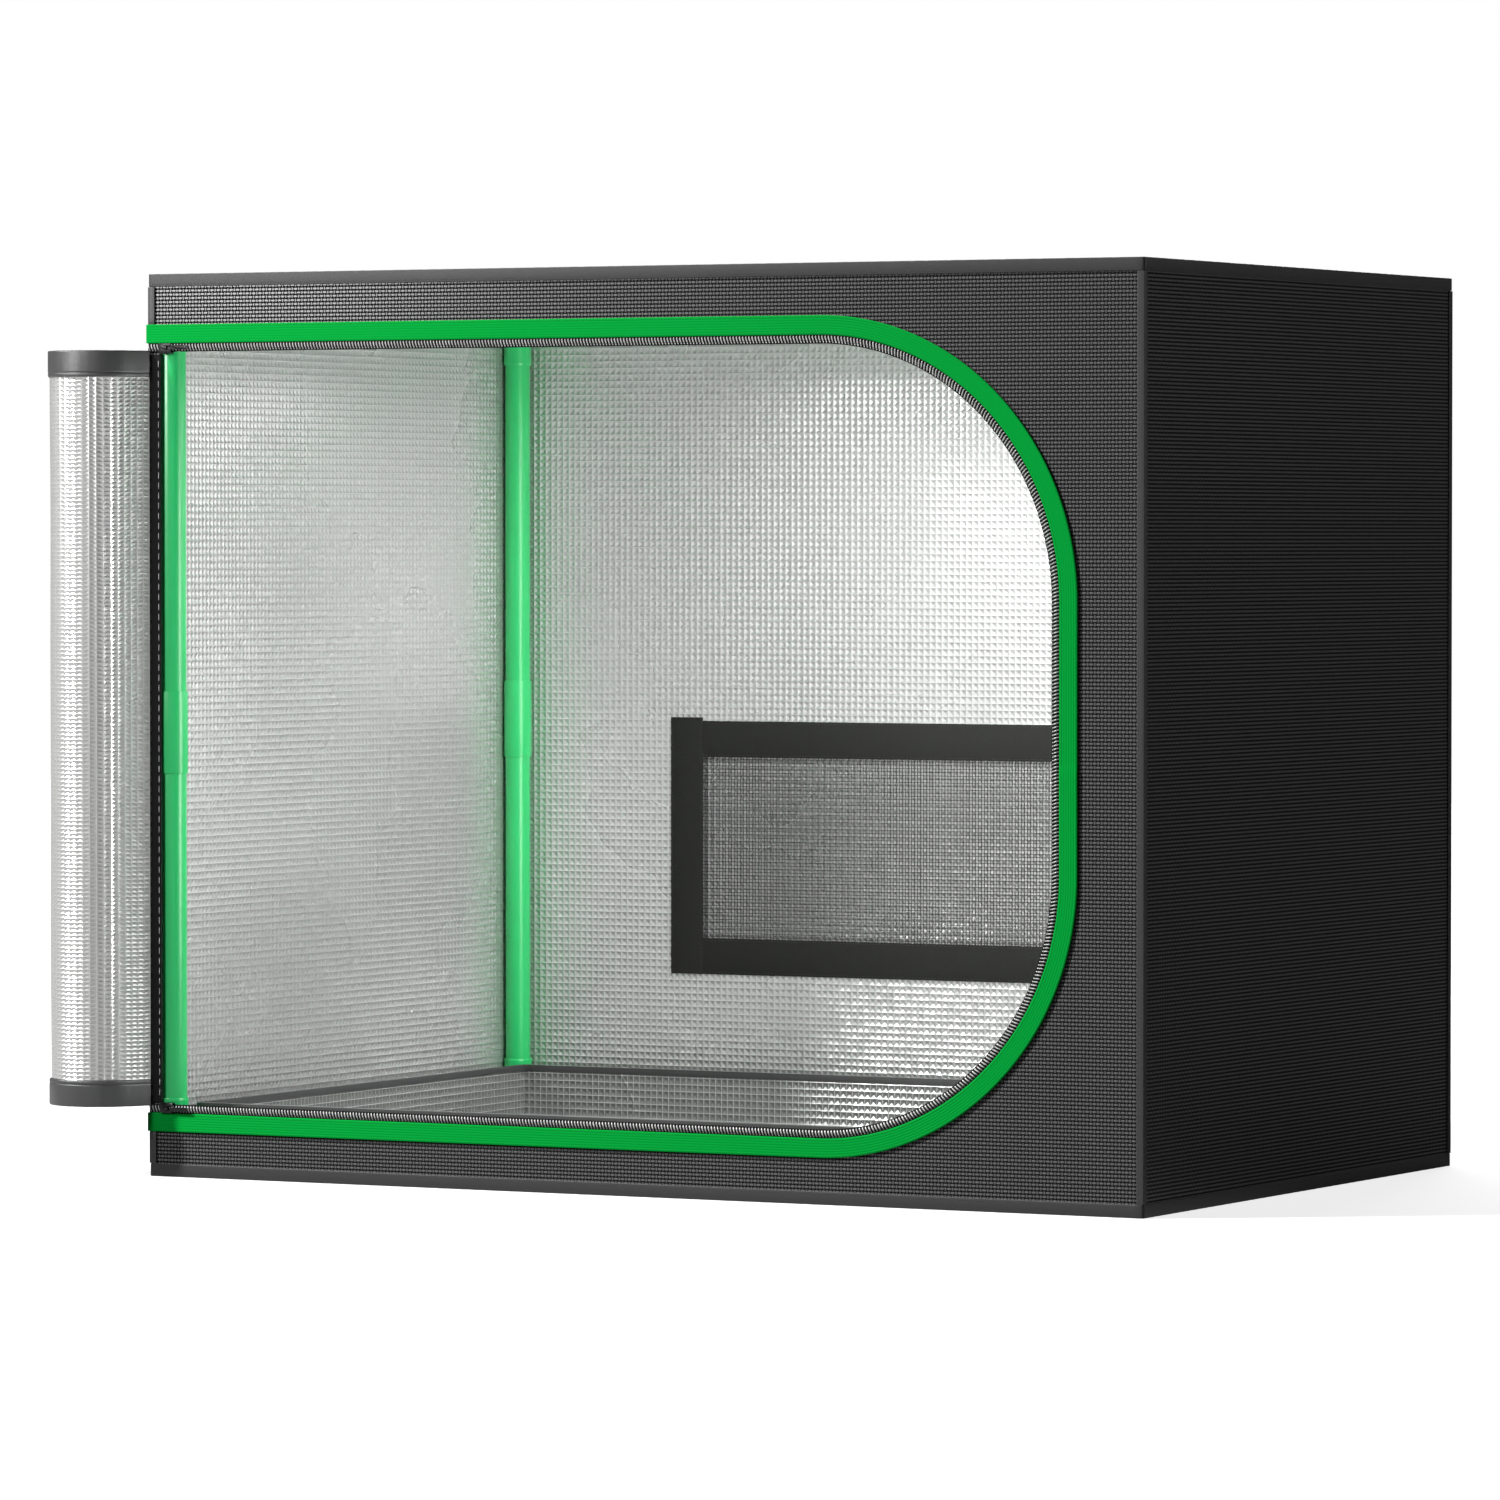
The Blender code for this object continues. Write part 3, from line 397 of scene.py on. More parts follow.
def makePlain(name, colour, roughness, metallic=0.0, specular=0.5, grain=900.0):
    # Small hard or stringy things: one colour with fine specks in tone, gloss and height.
    material, tree, shader = newMaterial(name, roughness, metallic, specular)
    tone = toneOf(tree, 40.0, grain)
    darker = tuple(0.72 * part for part in colour) + (1,)
    feedAll(tree, shader, {
        "Base Color": blendColour(tree, tone["Speck"], darker, colour + (1,)),
        "Roughness": ramp(tree, tone["Drift"], roughness - 0.05, roughness + 0.08),
    })
    addBump(tree, shader, tone["Speck"], 0.04)
    return material


print("materials")
canvas = makeCanvas()
film = makeFilm("mirrorFilm", filmLook["face"])
# A darker copy of the mirror film for the tray: painted shade.
shadedTrayFilm = makeFilm("shadedTrayFilm", filmLook["trayShadedFace"])
binding = makeTape("greyBinding", (0.05, 0.05, 0.051), 0.9, 0.42, 0.35, 0.05, sheen=0.08)
hemTape = makeTape("hemTape", (0.06, 0.06, 0.061), 0.9, 0.4, 0.7, 0.05, sheen=0.1)
borderTape = makeTape("borderTape", (0.026, 0.027, 0.024), 2.2, 0.8, 0.2, 0.15)
zipCloth = makeTape("zipCloth", (0.006, 0.006, 0.007), 0.8, 0.8, 0.2, 0.08)
hookTape = makeTape("hookTape", (0.02, 0.02, 0.02), 0.7, 0.85, 0.2, 0.4)
webbing = makeWebbing()
greenEnamel = makeEnamel("greenEnamel", (0.02, 0.63, 0.17, 1), 0.34)
whiteEnamel = makeEnamel("whiteEnamel", (0.72, 0.72, 0.7, 1), 0.35)
# The teeth are painted near white: a painted highlight for the shine on the nylon coil.
toothNylonPaintedHighlight = makePlain("toothNylonPaintedHighlight", (0.8, 0.8, 0.79), 0.3)
darkThread = makePlain("darkThread", (0.02, 0.02, 0.02), 0.6)
whiteThread = makePlain("whiteThread", (0.82, 0.82, 0.8), 0.6)
greenThread = makePlain("greenThread", (0.001, 0.3, 0.04), 0.6, specular=0.2)
darkMetal = makePlain("darkMetal", (0.03, 0.03, 0.031), 0.34, metallic=0.9, grain=400.0)
netCord = makePlain("netCord", (0.012, 0.012, 0.012), 0.7)

# Meshes: grids worked out as whole arrays


def joined(*parts):
    # Arrays of x, y and z, each stretched to the common shape, as points.
    return np.stack(np.broadcast_arrays(*parts), -1)


def onFace(line, y):
    # (x, z) points carried on to an upright face at y.
    return joined(line[:, 0], y, line[:, 1])


def buildMesh(name, points, faceSets, materials, slots=None, cloth=None, smooth=True):
    # faceSets is a list of arrays, one row of corner numbers to a face. A body that is inside out is turned.
    points = np.asarray(points, float)
    tris = [faces[:, [0, last - 1, last]] for faces in faceSets for last in range(2, faces.shape[1])]
    a, b, c = (points[np.concatenate(tris)[:, k]] for k in range(3))
    if (a * np.cross(b, c)).sum() < 0:
        faceSets = [faces[:, ::-1] for faces in faceSets]
    loops = np.concatenate([faces.ravel() for faces in faceSets]).astype(np.int32)
    sizes = np.concatenate([np.full(len(faces), faces.shape[1]) for faces in faceSets])
    starts = np.concatenate([[0], np.cumsum(sizes)[:-1]]).astype(np.int32)
    mesh = bpy.data.meshes.new(name)
    mesh.vertices.add(len(points))
    mesh.vertices.foreach_set("co", points.astype(np.float32).ravel())
    mesh.loops.add(len(loops))
    mesh.loops.foreach_set("vertex_index", loops)
    mesh.polygons.add(len(sizes))
    mesh.polygons.foreach_set("loop_start", starts)
    if cloth is not None:
        layer = mesh.uv_layers.new(name="cloth")
        layer.data.foreach_set("uv", np.asarray(cloth, np.float32)[loops].ravel())
    mesh.update(calc_edges=True)
    mesh.validate()
    mesh.polygons.foreach_set("use_smooth", np.full(len(mesh.polygons), smooth))
    for material in materials:
        mesh.materials.append(material)
    if slots is not None:
        mesh.polygons.foreach_set("material_index", np.concatenate(slots).astype(np.int32))
    return addThing(name, mesh)


def dress(piece, body, slot, *replaced):
    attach(piece, body)
    if replaced:
        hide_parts(*replaced)
    return piece


def keepSharp(piece, angle):
    # Smooth shading, with edges kept sharp where two faces turn by more than the angle.
    piece.data.set_sharp_from_angle(angle=math.radians(angle))
    return piece


def gridFaces(rows, columns, closedRows=False, closedColumns=False, start=0):
    # Corner numbers of the squares of a grid whose point (i, j) is number i * columns + j.
    i = np.arange(rows if closedRows else rows - 1)
    j = np.arange(columns if closedColumns else columns - 1)
    i, j = np.meshgrid(i, j, indexing="ij")
    up, side = (i + 1) % rows, (j + 1) % columns
    faces = np.stack([i * columns + j, up * columns + j, up * columns + side, i * columns + side], -1)
    return faces.reshape(-1, 4) + start


def endFaces(rows, columns):
    # The two ends of a tube of rings, one face each.
    ring = np.arange(columns)[None]
    return [ring[:, ::-1], (rows - 1) * columns + ring]


def softSection(outline, radius, steps=3):
    # Rounds each corner of an outline: an arc from one side to the next, as (1-t)^2 A + 2t(1-t) C + t^2 B.
    outline = np.array(outline, float)
    ends = []
    for side in (1, -1):
        way = np.roll(outline, side, 0) - outline
        length = np.hypot(*way.T)
        ends.append((outline + way / length[:, None] * np.minimum(radius, 0.45 * length)[:, None])[:, None])
    t = np.linspace(0, 1, steps + 1)[None, :, None]
    arcs = (1 - t) ** 2 * ends[0] + 2 * t * (1 - t) * outline[:, None] + t**2 * ends[1]
    return arcs.reshape(-1, 2)


def runLength(points):
    # Distance along a row of points, from its first.
    return np.concatenate([[0], np.cumsum(np.linalg.norm(np.diff(points, axis=0), axis=1))])


def stripMesh(name, rings, material, closed=False):
    # rings[i, j] is point j of the strip's closed section at station i. Ends are capped, or the strip closes.
    rows, columns = rings.shape[:2]
    faceSets = [gridFaces(rows, columns, closedRows=closed, closedColumns=True)]
    if not closed:
        faceSets += endFaces(rows, columns)
    along, around = runLength(rings.mean(1)) / mm, runLength(rings[rows // 2]) / mm
    cloth = joined(along[:, None], around[None, :]).reshape(-1, 2)
    return keepSharp(buildMesh(name, rings.reshape(-1, 3), faceSets, [material], cloth=cloth), 40)


def scatter(name, template, faces, places, ways, material):
    # Copies of a small shape: point = place + x * first way + y * second way + z * third way.
    points = places[:, None, :] + np.einsum("pk,nkc->npc", template, ways)
    numbers = faces[None] + (np.arange(len(places)) * len(template))[:, None, None]
    return buildMesh(name, points.reshape(-1, 3), [numbers.reshape(-1, faces.shape[1])], [material])


def capsule(length, radius, sides=6):
    # A stitch: a short thread, thick in the middle and drawn in to its ends.
    x = np.array([-0.5, -0.42, 0.0, 0.42, 0.5])[:, None] * length
    girth = np.array([0.05, 0.75, 1.0, 0.75, 0.05])[:, None] * radius
    turn = np.arange(sides) * math.tau / sides
    points = joined(x, girth * np.cos(turn), girth * np.sin(turn)).reshape(-1, 3)
    return points, gridFaces(len(x), sides, closedColumns=True)


def evenSpots(path, pitch, reach, *fields):
    # Evenly spaced spots on a path, the way along it there, taken from reach before to reach after, and the
    # values there of fields that are given at the path's points.
    way = runLength(path)
    count = max(int(way[-1] / pitch), 1)
    spots = (np.arange(count) + 0.5) * way[-1] / count

    def at(places, field):
        return np.stack([np.interp(places, way, column) for column in field.T], -1)

    along = at(spots + reach, path) - at(spots - reach, path)
    along /= np.linalg.norm(along, axis=1)[:, None]
    return [at(spots, path), along] + [at(spots, field) for field in fields]


stitchLook = {"pitch": 3.2, "length": 2.3, "girth": 0.19, "thread": darkThread}


def stitches(name, path, outward, body, slot, **changes):
    # A row of stitches lying along a path, on the face that looks outward, one way or one for each point.
    look = {**stitchLook, **changes}
    path, pitch = np.asarray(path, float), look["pitch"] * mm
    outward = np.broadcast_to(np.asarray(outward, float), path.shape)
    centre, along, outward = evenSpots(path, pitch, 0.1 * pitch, outward)
    ways = np.stack([along, np.cross(outward, along), outward], 1)
    template, faces = capsule(look["length"] * mm, look["girth"] * mm)
    return dress(scatter(name, template, faces, centre, ways, look["thread"]), body, slot)


# Film-lined cloth: canvas on one side, and on the other mirror film embossed with square pits

emboss = {"pitch": 5.9 * mm, "rise": 1.0 * mm, "stray": 0.05}


def flatPlace(corner, uWay, vWay, inward):
    # A point of a flat sheet: corner + u * uWay + v * vWay + depth * inward.
    corner, uWay, vWay, inward = (np.array(part, float) for part in (corner, uWay, vWay, inward))
    return lambda u, v, depth: corner + u[..., None] * uWay + v[..., None] * vWay + depth * inward


def cellCorners(grid):
    return grid[:-1, :-1], grid[1:, :-1], grid[1:, 1:], grid[:-1, 1:]


def filmCloth(place, size, thick, hole=None, seed=1, rows=1.0):
    # Grid point (i, j) is place(u, v, depth): depth 0 on the canvas side, thick at the lines of the embossing,
    # and thick - rise at the pit in the middle of each cell. Cells whose middle is in the hole go; the others' edge
    # points are moved on to the hole's edge, by the hole's distance along its slope. rows is a row's height in pitches.
    counts = [max(int(round(size[k] / emboss["pitch"] / (1.0, rows)[k])), 1) for k in (0, 1)]
    u, v = np.meshgrid(*(np.linspace(0, size[k], counts[k] + 1) for k in (0, 1)), indexing="ij")
    keep = np.ones(counts, bool)
    if hole is not None:
        keep = hole((u[:-1, :-1] + u[1:, 1:]) / 2, (v[:-1, :-1] + v[1:, 1:]) / 2) > 0
        kept, gone = (np.logical_or.reduce(cellCorners(np.pad(cells, 1))) for cells in (keep, ~keep))
        step, far, rim = 0.01 * mm, hole(u, v), kept & gone
        slopeU = (hole(u + step, v) - hole(u - step, v)) / (2 * step)
        slopeV = (hole(u, v + step) - hole(u, v - step)) / (2 * step)
        u, v = np.where(rim, u - far * slopeU, u), np.where(rim, v - far * slopeV, v)
    stray = np.random.default_rng(seed).uniform(-1, 1, (2, *counts)) * emboss["stray"] * emboss["pitch"]
    peakU, peakV = (sum(cellCorners(grid)) / 4 + stray[k] for k, grid in enumerate((u, v)))
    lining = [grid[keep] for grid in cellCorners(np.arange(u.size).reshape(u.shape))]
    peaks = 2 * u.size + np.arange(peakU.size).reshape(peakU.shape)[keep]
    pits = [np.stack([lining[k], lining[(k + 1) % 4], peaks], -1) for k in range(4)]
    quads = [np.stack(lining[::-1], -1) + u.size]
    padded = np.pad(keep, 1)
    for k, (di, dj) in enumerate(((0, -1), (1, 0), (0, 1), (-1, 0))):
        bare = ~padded[1 + di : padded.shape[0] - 1 + di, 1 + dj : padded.shape[1] - 1 + dj][keep]
        start, end = lining[k][bare], lining[(k + 1) % 4][bare]
        quads.append(np.stack([end, start, start + u.size, end + u.size], -1))
    points = [place(u, v, thick), place(u, v, 0.0), place(peakU, peakV, thick - emboss["rise"])]
    i, j = np.meshgrid(*(np.arange(count + 1.0) for count in counts), indexing="ij")
    cell = filmLook["cell"]
    cloth = [joined(i, j) * cell, joined(u, v) / mm, joined(i[:-1, :-1] + 0.5, j[:-1, :-1] + 0.5) * cell]
    points = np.concatenate([part.reshape(-1, 3) for part in points])
    cloth = np.concatenate([part.reshape(-1, 2) for part in cloth])
    tris, quads = np.concatenate(pits), np.concatenate(quads)
    used = np.zeros(len(points), bool)
    used[tris.ravel()], used[quads.ravel()] = True, True
    renumber = np.cumsum(used) - 1
    slots = [np.ones(len(tris), int), np.zeros(len(quads), int)]
    return {"points": points[used], "faces": [renumber[tris], renumber[quads]], "slots": slots, "cloth": cloth[used]}


def filmMesh(name, *parts, lining=film):
    # One piece out of one or more film-lined sheets.
    start, faces, slots = 0, [], []
    for part in parts:
        a, b, c = (part["points"][part["faces"][0][:, k]] for k in range(3))
        d, e, f, g = (part["points"][part["faces"][1][:, k]] for k in range(4))
        volume = (a * np.cross(b, c)).sum() + (d * np.cross(e, f)).sum() + (d * np.cross(f, g)).sum()
        turn = -1 if volume < 0 else 1
        faces += [group[:, ::turn] + start for group in part["faces"]]
        slots += part["slots"]
        start += len(part["points"])
    points, cloth = (np.concatenate([part[key] for part in parts]) for key in ("points", "cloth"))
    return buildMesh(name, points, faces, [canvas, lining], slots, cloth, smooth=False)


def rectangleHole(lowU, highU, lowV, highV):
    # Distance from the rectangle, negative inside it.
    return lambda u, v: np.maximum(np.maximum(lowU - u, u - highU), np.maximum(lowV - v, v - highV))


def roundHole(middleU, middleV, radius):
    return lambda u, v: np.hypot(u - middleU, v - middleV) - radius


door = {
    "top": 708.2 * mm,
    "bottom": 37.5 * mm,
    "right": 399.5 * mm,
    "radius": 228 * mm,
    "openingInset": 14.2 * mm,
    "openingLeft": -446 * mm,
    "bandLeft": span("door_band")[0][0],
    "zipLeft": span("zip_tape")[0][0],
}
window = {"halfWidth": 260 * mm, "low": 176.5 * mm, "high": 337 * mm, "lap": 8 * mm, "border": 32 * mm}
duct = {"x": 362 * mm, "z": 640 * mm, "radius": 55 * mm}


def doorHole(cornerX, cornerZ):
    # The door's D: straight on the left, with quarter circles on the right.
    radius = door["radius"] - door["openingInset"]
    middleX = door["right"] - door["radius"]
    middleZ, halfStraight = (door["top"] + door["bottom"]) / 2, (door["top"] - door["bottom"]) / 2 - door["radius"]

    def distance(u, v):
        right, up = u + cornerX - middleX, np.abs(v + cornerZ - middleZ) - halfStraight
        outer = np.where((right > 0) & (up > 0), np.hypot(right, up), np.maximum(right, up)) - radius
        return np.maximum(outer, door["openingLeft"] - u - cornerX)

    return distance


def makePanels():
    width, fabric, height = frontHigh - frontLow
    backLow, backHigh = span("skin_back")
    leftLow, leftHigh = span("skin_left")
    roofLow, roofHigh = span("skin_roof")
    across, deep, up = (1, 0, 0), (0, 1, 0), (0, 0, 1)

    def panel(name, place, size, seed, rests, hole=None, **more):
        cloth = filmMesh(f"{name}_panel", filmCloth(place, size, fabric, hole, seed))
        dress(cloth, "tent", "black_canvas", f"skin_{name}")

    panel("front", flatPlace(frontLow, across, up, deep), (width, height), 11,
          ["corner_top_front_left", "corner_top_front_right"], doorHole(frontLow[0], frontLow[2]),
          area=0.3 * width * height)

    lap = window["lap"]
    net = rectangleHole(
        -window["halfWidth"] - lap - backLow[0], window["halfWidth"] + lap - backLow[0],
        window["low"] - lap - backLow[2], window["high"] + lap - backLow[2],
    )
    port = roundHole(duct["x"] - backLow[0], duct["z"] - backLow[2], duct["radius"])
    panel("back", flatPlace((backLow[0], backHigh[1], backLow[2]), across, up, (0, -1, 0)), (width, height), 12,
          ["corner_top_back_left", "corner_top_back_right"], lambda u, v: np.minimum(net(u, v), port(u, v)))

    for side, inward in (("left", 1), ("right", -1)):
        low, high = span(f"skin_{side}")
        place = flatPlace((low[0] if inward > 0 else high[0], low[1], low[2]), deep, up, (inward, 0, 0))
        panel(side, place, (leftHigh[1] - leftLow[1], height), 13 + inward,
              [f"corner_top_front_{side}", f"corner_top_back_{side}"])

    panel("roof", flatPlace((roofLow[0], roofLow[1], roofHigh[2]), across, deep, (0, 0, -1)),
          (width, roofHigh[1] - roofLow[1]), 15, ["rail_top_front", "rail_top_back"])

    # The floor is plain canvas both ways, its foot recessed for the binding.
    levels = [(7, 0), (7, 1.3), (0, 1.3), (0, 2.5)]
    floorLow, floorHigh = span("skin_floor")
    half = (floorHigh - floorLow) / 2
    grid = joined(*np.meshgrid(np.linspace(-1, 1, 40), np.linspace(-1, 1, 28), indexing="ij"))
    ring = np.concatenate([grid[:, 0], grid[-1, 1:], grid[-2::-1, -1], grid[0, -2:0:-1]])
    points = np.concatenate([joined(*(ring * (half[:2] - inset * mm)).T, z * mm) for inset, z in levels])
    faces = [gridFaces(4, len(ring), closedColumns=True), *endFaces(4, len(ring))]
    ground = buildMesh("floor_panel", points, faces, [canvas], cloth=points[:, :2] / mm, smooth=False)
    dress(ground, "tent", "black_canvas", "skin_floor")


# Edge bindings, folded round the tent's edges

bindingLook = {"thick": 1.0, "drop": 10.5, "lap": 8.0, "leg": 6.5, "soft": 0.45, "round": 2.5, "pucker": 0.07,
               "gap": 0.3, "seamIn": 2, "legSeamIn": 1.6, "hingeSink": 0.05}


def rectanglePath(halfU, halfV, inset, turn, step=4 * mm, arcSteps=4):
    # Points (u, v) round a rectangle with round corners; the corner's radius shrinks as the inset grows.
    radius = max(turn - inset, 0.2 * mm)
    u, v = halfU - inset, halfV - inset
    arcs = []
    for k, (sideU, sideV) in enumerate(((1, -1), (1, 1), (-1, 1), (-1, -1))):
        angles = np.linspace(0, math.pi / 2, arcSteps + 1) + (k - 1) * math.pi / 2
        middle = np.array([sideU * (u - radius), sideV * (v - radius)])
        arcs.append(middle + radius * np.column_stack([np.cos(angles), np.sin(angles)]))
    rows = []
    for k in range(4):
        start, end = arcs[k][-1], arcs[(k + 1) % 4][0]
        length = 2 * (halfV if k % 2 == 0 else halfU)
        shares = np.linspace(0, 1, int(length / step))[1:-1, None]
        rows += [arcs[k], start * (1 - shares) + end * shares]
    return np.concatenate(rows)


def loopStrip(name, halfU, halfV, profile, material, turn, pucker=0.0, lay=joined):
    # profile is (inset, third); lay(u, v, third) gives the point.
    columns = []
    for inset, third in profile:
        path = rectanglePath(halfU, halfV, inset, turn)
        station = np.arange(len(path))
        wave = pucker * np.sin(station * 1.9) * np.sin(station * 0.37 + 1)
        columns.append(lay(path[:, 0], path[:, 1], third + wave))
    return stripMesh(name, np.stack(columns, 1), material, closed=True)


def stitchLoop(name, path):
    # Stitches on the four upright faces of a loop: they look away from the tent's middle.
    for k, (axis, sign) in enumerate(((1, -1), (0, 1), (1, 1), (0, -1))):
        out = sign * path[:, axis]
        run = path[out > out.max() - 1e-6]
        run = run[np.argsort(run[:, 1 - axis])]
        stitches(f"{name}_{k}", run[[0, -1]], sign * np.eye(3)[axis], "tent", "black_tape")


def makeBindings():
    look = bindingLook
    thick, drop, lap, leg, soft, turn, pucker, gap = (
        look[key] * mm for key in ("thick", "drop", "lap", "leg", "soft", "round", "pucker", "gap")
    )
    angle = [(0, drop), (0, 0), (lap, 0), (lap, thick), (thick, thick), (thick, drop)]
    halfX, halfY, top = span("binding_roof")[1]
    for where, edge, inward in (("roof", top, -1), ("floor", 0.0, 1)):
        section = softSection([(inset, edge + inward * depth) for inset, depth in angle], soft)
        strip = loopStrip(f"{where}_binding", halfX, halfY, section, binding, turn, pucker)
        dress(strip, "tent", "grey_binding", f"binding_{where}")
        path = joined(*rectanglePath(halfX, halfY, 0, turn).T, edge + inward * (drop - look["seamIn"] * mm))
        stitchLoop(f"{where}_binding_stitches", np.concatenate([path, path[:1]]))

    low, high = drop + gap, top - drop - gap
    levels = np.linspace(low, high, 170)[:, None]
    wave = pucker * np.sin(levels / mm * 0.9)
    section = softSection([(0, leg), (0, 0), (leg, 0), (leg, thick), (thick, thick), (thick, leg)], soft)
    insetX, insetY = section.T
    for corner, (sideX, sideY) in corners.items():
        hinged = corner == "front_left"
        x = sideX * (halfX - insetX + wave * (insetY > leg / 2))
        y = sideY * (halfY - insetY + wave * (insetX > leg / 2))
        if hinged:
            # The webbing and the hinge seam take the front leg's place beside the opening.
            beside = (levels > door["bottom"] - gap) & (levels < door["top"] + gap)
            x = np.where(beside, np.minimum(x, sideX * (halfX - thick)), x)
            y = np.where(beside, np.maximum(y, frontY + look["hingeSink"] * mm), y)
        strip = stripMesh(f"{corner}_binding", joined(x, y, levels), binding)
        dress(strip, "tent", "grey_binding", f"binding_{corner}")
        seam = leg - look["legSeamIn"] * mm
        rows = {"x": ((sideX * (halfX - seam), sideY * halfY), (0, sideY, 0)),
                "y": ((sideX * halfX, sideY * (halfY - seam)), (sideX, 0, 0))}
        for along, (spot, outward) in rows.items():
            if not (hinged and along == "x"):
                stitches(f"{corner}_stitches_{along}", [(*spot, low), (*spot, high)], outward, "tent", "black_tape")


# The door's edge: webbing, zip tape and teeth along the D


def doorLine(inset, left, step=4 * mm, arcStep=3 * mm):
    # (x, z) from the top left, round the two arcs on the right, to the bottom left.
    radius = door["radius"] - inset
    middleX = door["right"] - door["radius"]
    topZ, bottomZ = door["top"] - door["radius"], door["bottom"] + door["radius"]
    straight = np.linspace(left, middleX, int((middleX - left) / step))[:-1]
    side = np.linspace(topZ, bottomZ, int((topZ - bottomZ) / step))[1:-1]
    turn = np.linspace(0, math.pi / 2, int(door["radius"] * math.pi / 2 / arcStep))
    return np.concatenate([
        joined(straight, door["top"] - inset),
        joined(middleX + radius * np.sin(turn), topZ + radius * np.cos(turn)),
        joined(middleX + radius, side),
        joined(middleX + radius * np.cos(turn), bottomZ - radius * np.sin(turn)),
        joined(straight[::-1], door["bottom"] + inset),
    ])


def doorStrip(name, profile, left, material, lift=None):
    # profile is (inset, proud of the front panel), in millimetres. lift(line, proud) adds to proud along the way.
    columns = []
    for inset, proud in np.array(profile) * mm:
        line = doorLine(inset, left)
        columns.append(onFace(line, frontY - proud - (0 if lift is None else lift(line, proud))))
    return stripMesh(name, np.stack(columns, 1), material)


def ribbedFace(start, end, count, level, rib):
    # The outer face of a woven tape, from its far edge back, every second thread a little lower.
    return [(x, level - rib * (k % 2)) for k, x in enumerate(np.linspace(start, end, count)[::-1])]


bandLook = {"width": 15.5, "ribs": 7, "back": 1.22, "front": 2.35, "foot": 0.35, "groove": 0.16, "edge": 0.35,
            "liftAt": (7.6, 7.7), "seam": 350, "step": 0.45, "stepRise": 0.8, "stepRun": 45}


def makeBand():
    look = bandLook
    width, edge = look["width"], look["edge"]
    across = np.linspace(edge, width - edge, look["ribs"] * 6 + 1)
    ridge = np.abs(np.sin((across - edge) / (width - 2 * edge) * look["ribs"] * math.pi))
    face = [(x, look["front"] - look["groove"] * (1 - r)) for x, r in zip(across[::-1], ridge[::-1])]
    profile = [(0.0, look["foot"]), (look["liftAt"][0], look["foot"]), (look["liftAt"][1], look["back"]),
               (width, look["back"]), (width, look["front"] - edge), *face, (0.0, look["front"] - edge)]

    def lap(line, proud):
        # Below the seam the new length of webbing lies on the old one: a step that fades out.
        below = (look["seam"] * mm - line[:, 1]) / mm
        step = np.clip(below / look["stepRise"], 0, 1) * np.exp(-np.clip(below, 0, None) / look["stepRun"])
        return np.where((line[:, 0] > 0) & (proud > 1.5 * mm), look["step"] * mm * step, 0)

    band = doorStrip("door_webbing", profile, door["bandLeft"], webbing, lap)
    dress(band, "tent", "green_webbing", "door_band")
    length = runLength(doorLine(width / 2 * mm, door["bandLeft"]))[-1]
    for k, inset in enumerate((1.5, width - 1.7)):
        path = onFace(doorLine(inset * mm, door["bandLeft"] + 2 * mm), frontY - (look["front"] - 0.02) * mm)
        stitches(f"webbing_stitches_{k}", path, (0, -1, 0), "tent", "green_webbing", pitch=3.4, length=2.5,
                 girth=0.13, thread=greenThread)


zipLook = {"tapeIn": (8, 22.7), "tapeOut": (0.3, 0.9), "rib": 0.07, "teethIn": (16.2, 21.9), "pitch": 2.85,
           "thick": 0.55, "middle": 1.72, "slant": 0.75, "crown": 0.32, "drop": 0.35, "threadIn": 1.5,
           "threadOut": 0.75}


def makeZip():
    look, left = zipLook, door["zipLeft"]
    (inner, outer), (low, high) = look["tapeIn"], look["tapeOut"]
    profile = [(inner, low), (outer, low), *ribbedFace(inner, outer, 23, high, look["rib"])]
    tape = doorStrip("zip_cloth", profile, left, zipCloth)
    dress(tape, "tent", "black_tape", "zip_tape")
    middle = doorLine((inner + outer) / 2 * mm, left)
    runLength(middle)[-1]

    # A tooth: a thin nylon loop lying across the zip on a slant, its ends let down on to the tape.
    start, end = look["teethIn"]
    centre, along = evenSpots(doorLine((start + end) / 2 * mm, left, 2 * mm, 2 * mm), look["pitch"] * mm, mm)
    into = joined(along[:, 1], -along[:, 0])
    ways = np.stack([onFace(along, 0.0), onFace(into, 0.0), np.broadcast_to([0.0, -1.0, 0.0], (len(along), 3))], 1)
    t = np.linspace(-1, 1, 9)
    height = look["middle"] + look["crown"] * (1 - t**2) - look["drop"] * t**8
    spine = joined(look["slant"] * np.sin(t * 1.35), t * (end - start) / 2, height)
    girth = look["thick"] * np.array([0.45, 0.9, 1, 1, 1, 1, 1, 0.9, 0.45])
    turn = np.arange(6) * math.tau / 6
    tooth = spine[:, None] + girth[:, None, None] * joined(np.cos(turn), 0 * turn, np.sin(turn))[None]
    caps = np.array([[0, 1, 2, 3], [0, 3, 4, 5]])
    faces = np.concatenate([gridFaces(9, 6, closedColumns=True), caps[:, ::-1], caps + 48])
    teeth = scatter("zip_teeth", tooth.reshape(-1, 3) * mm, faces, onFace(centre, frontY), ways, toothNylonPaintedHighlight)
    dress(teeth, "tent", "zip_coil", "zip_coil")
    # The sewing thread that runs through the teeth, two rows.
    for k, inset in enumerate((start + look["threadIn"], end - look["threadIn"])):
        path = onFace(doorLine(inset * mm, left + 1 * mm), frontY - (look["middle"] + look["threadOut"]) * mm)
        stitches(f"zip_thread_{k}", path, (0, -1, 0), "tent", "zip_coil", pitch=look["pitch"], length=2.0, girth=0.22)


# The rolled door: film outside, spiralling in, with a tape hem at its top and bottom

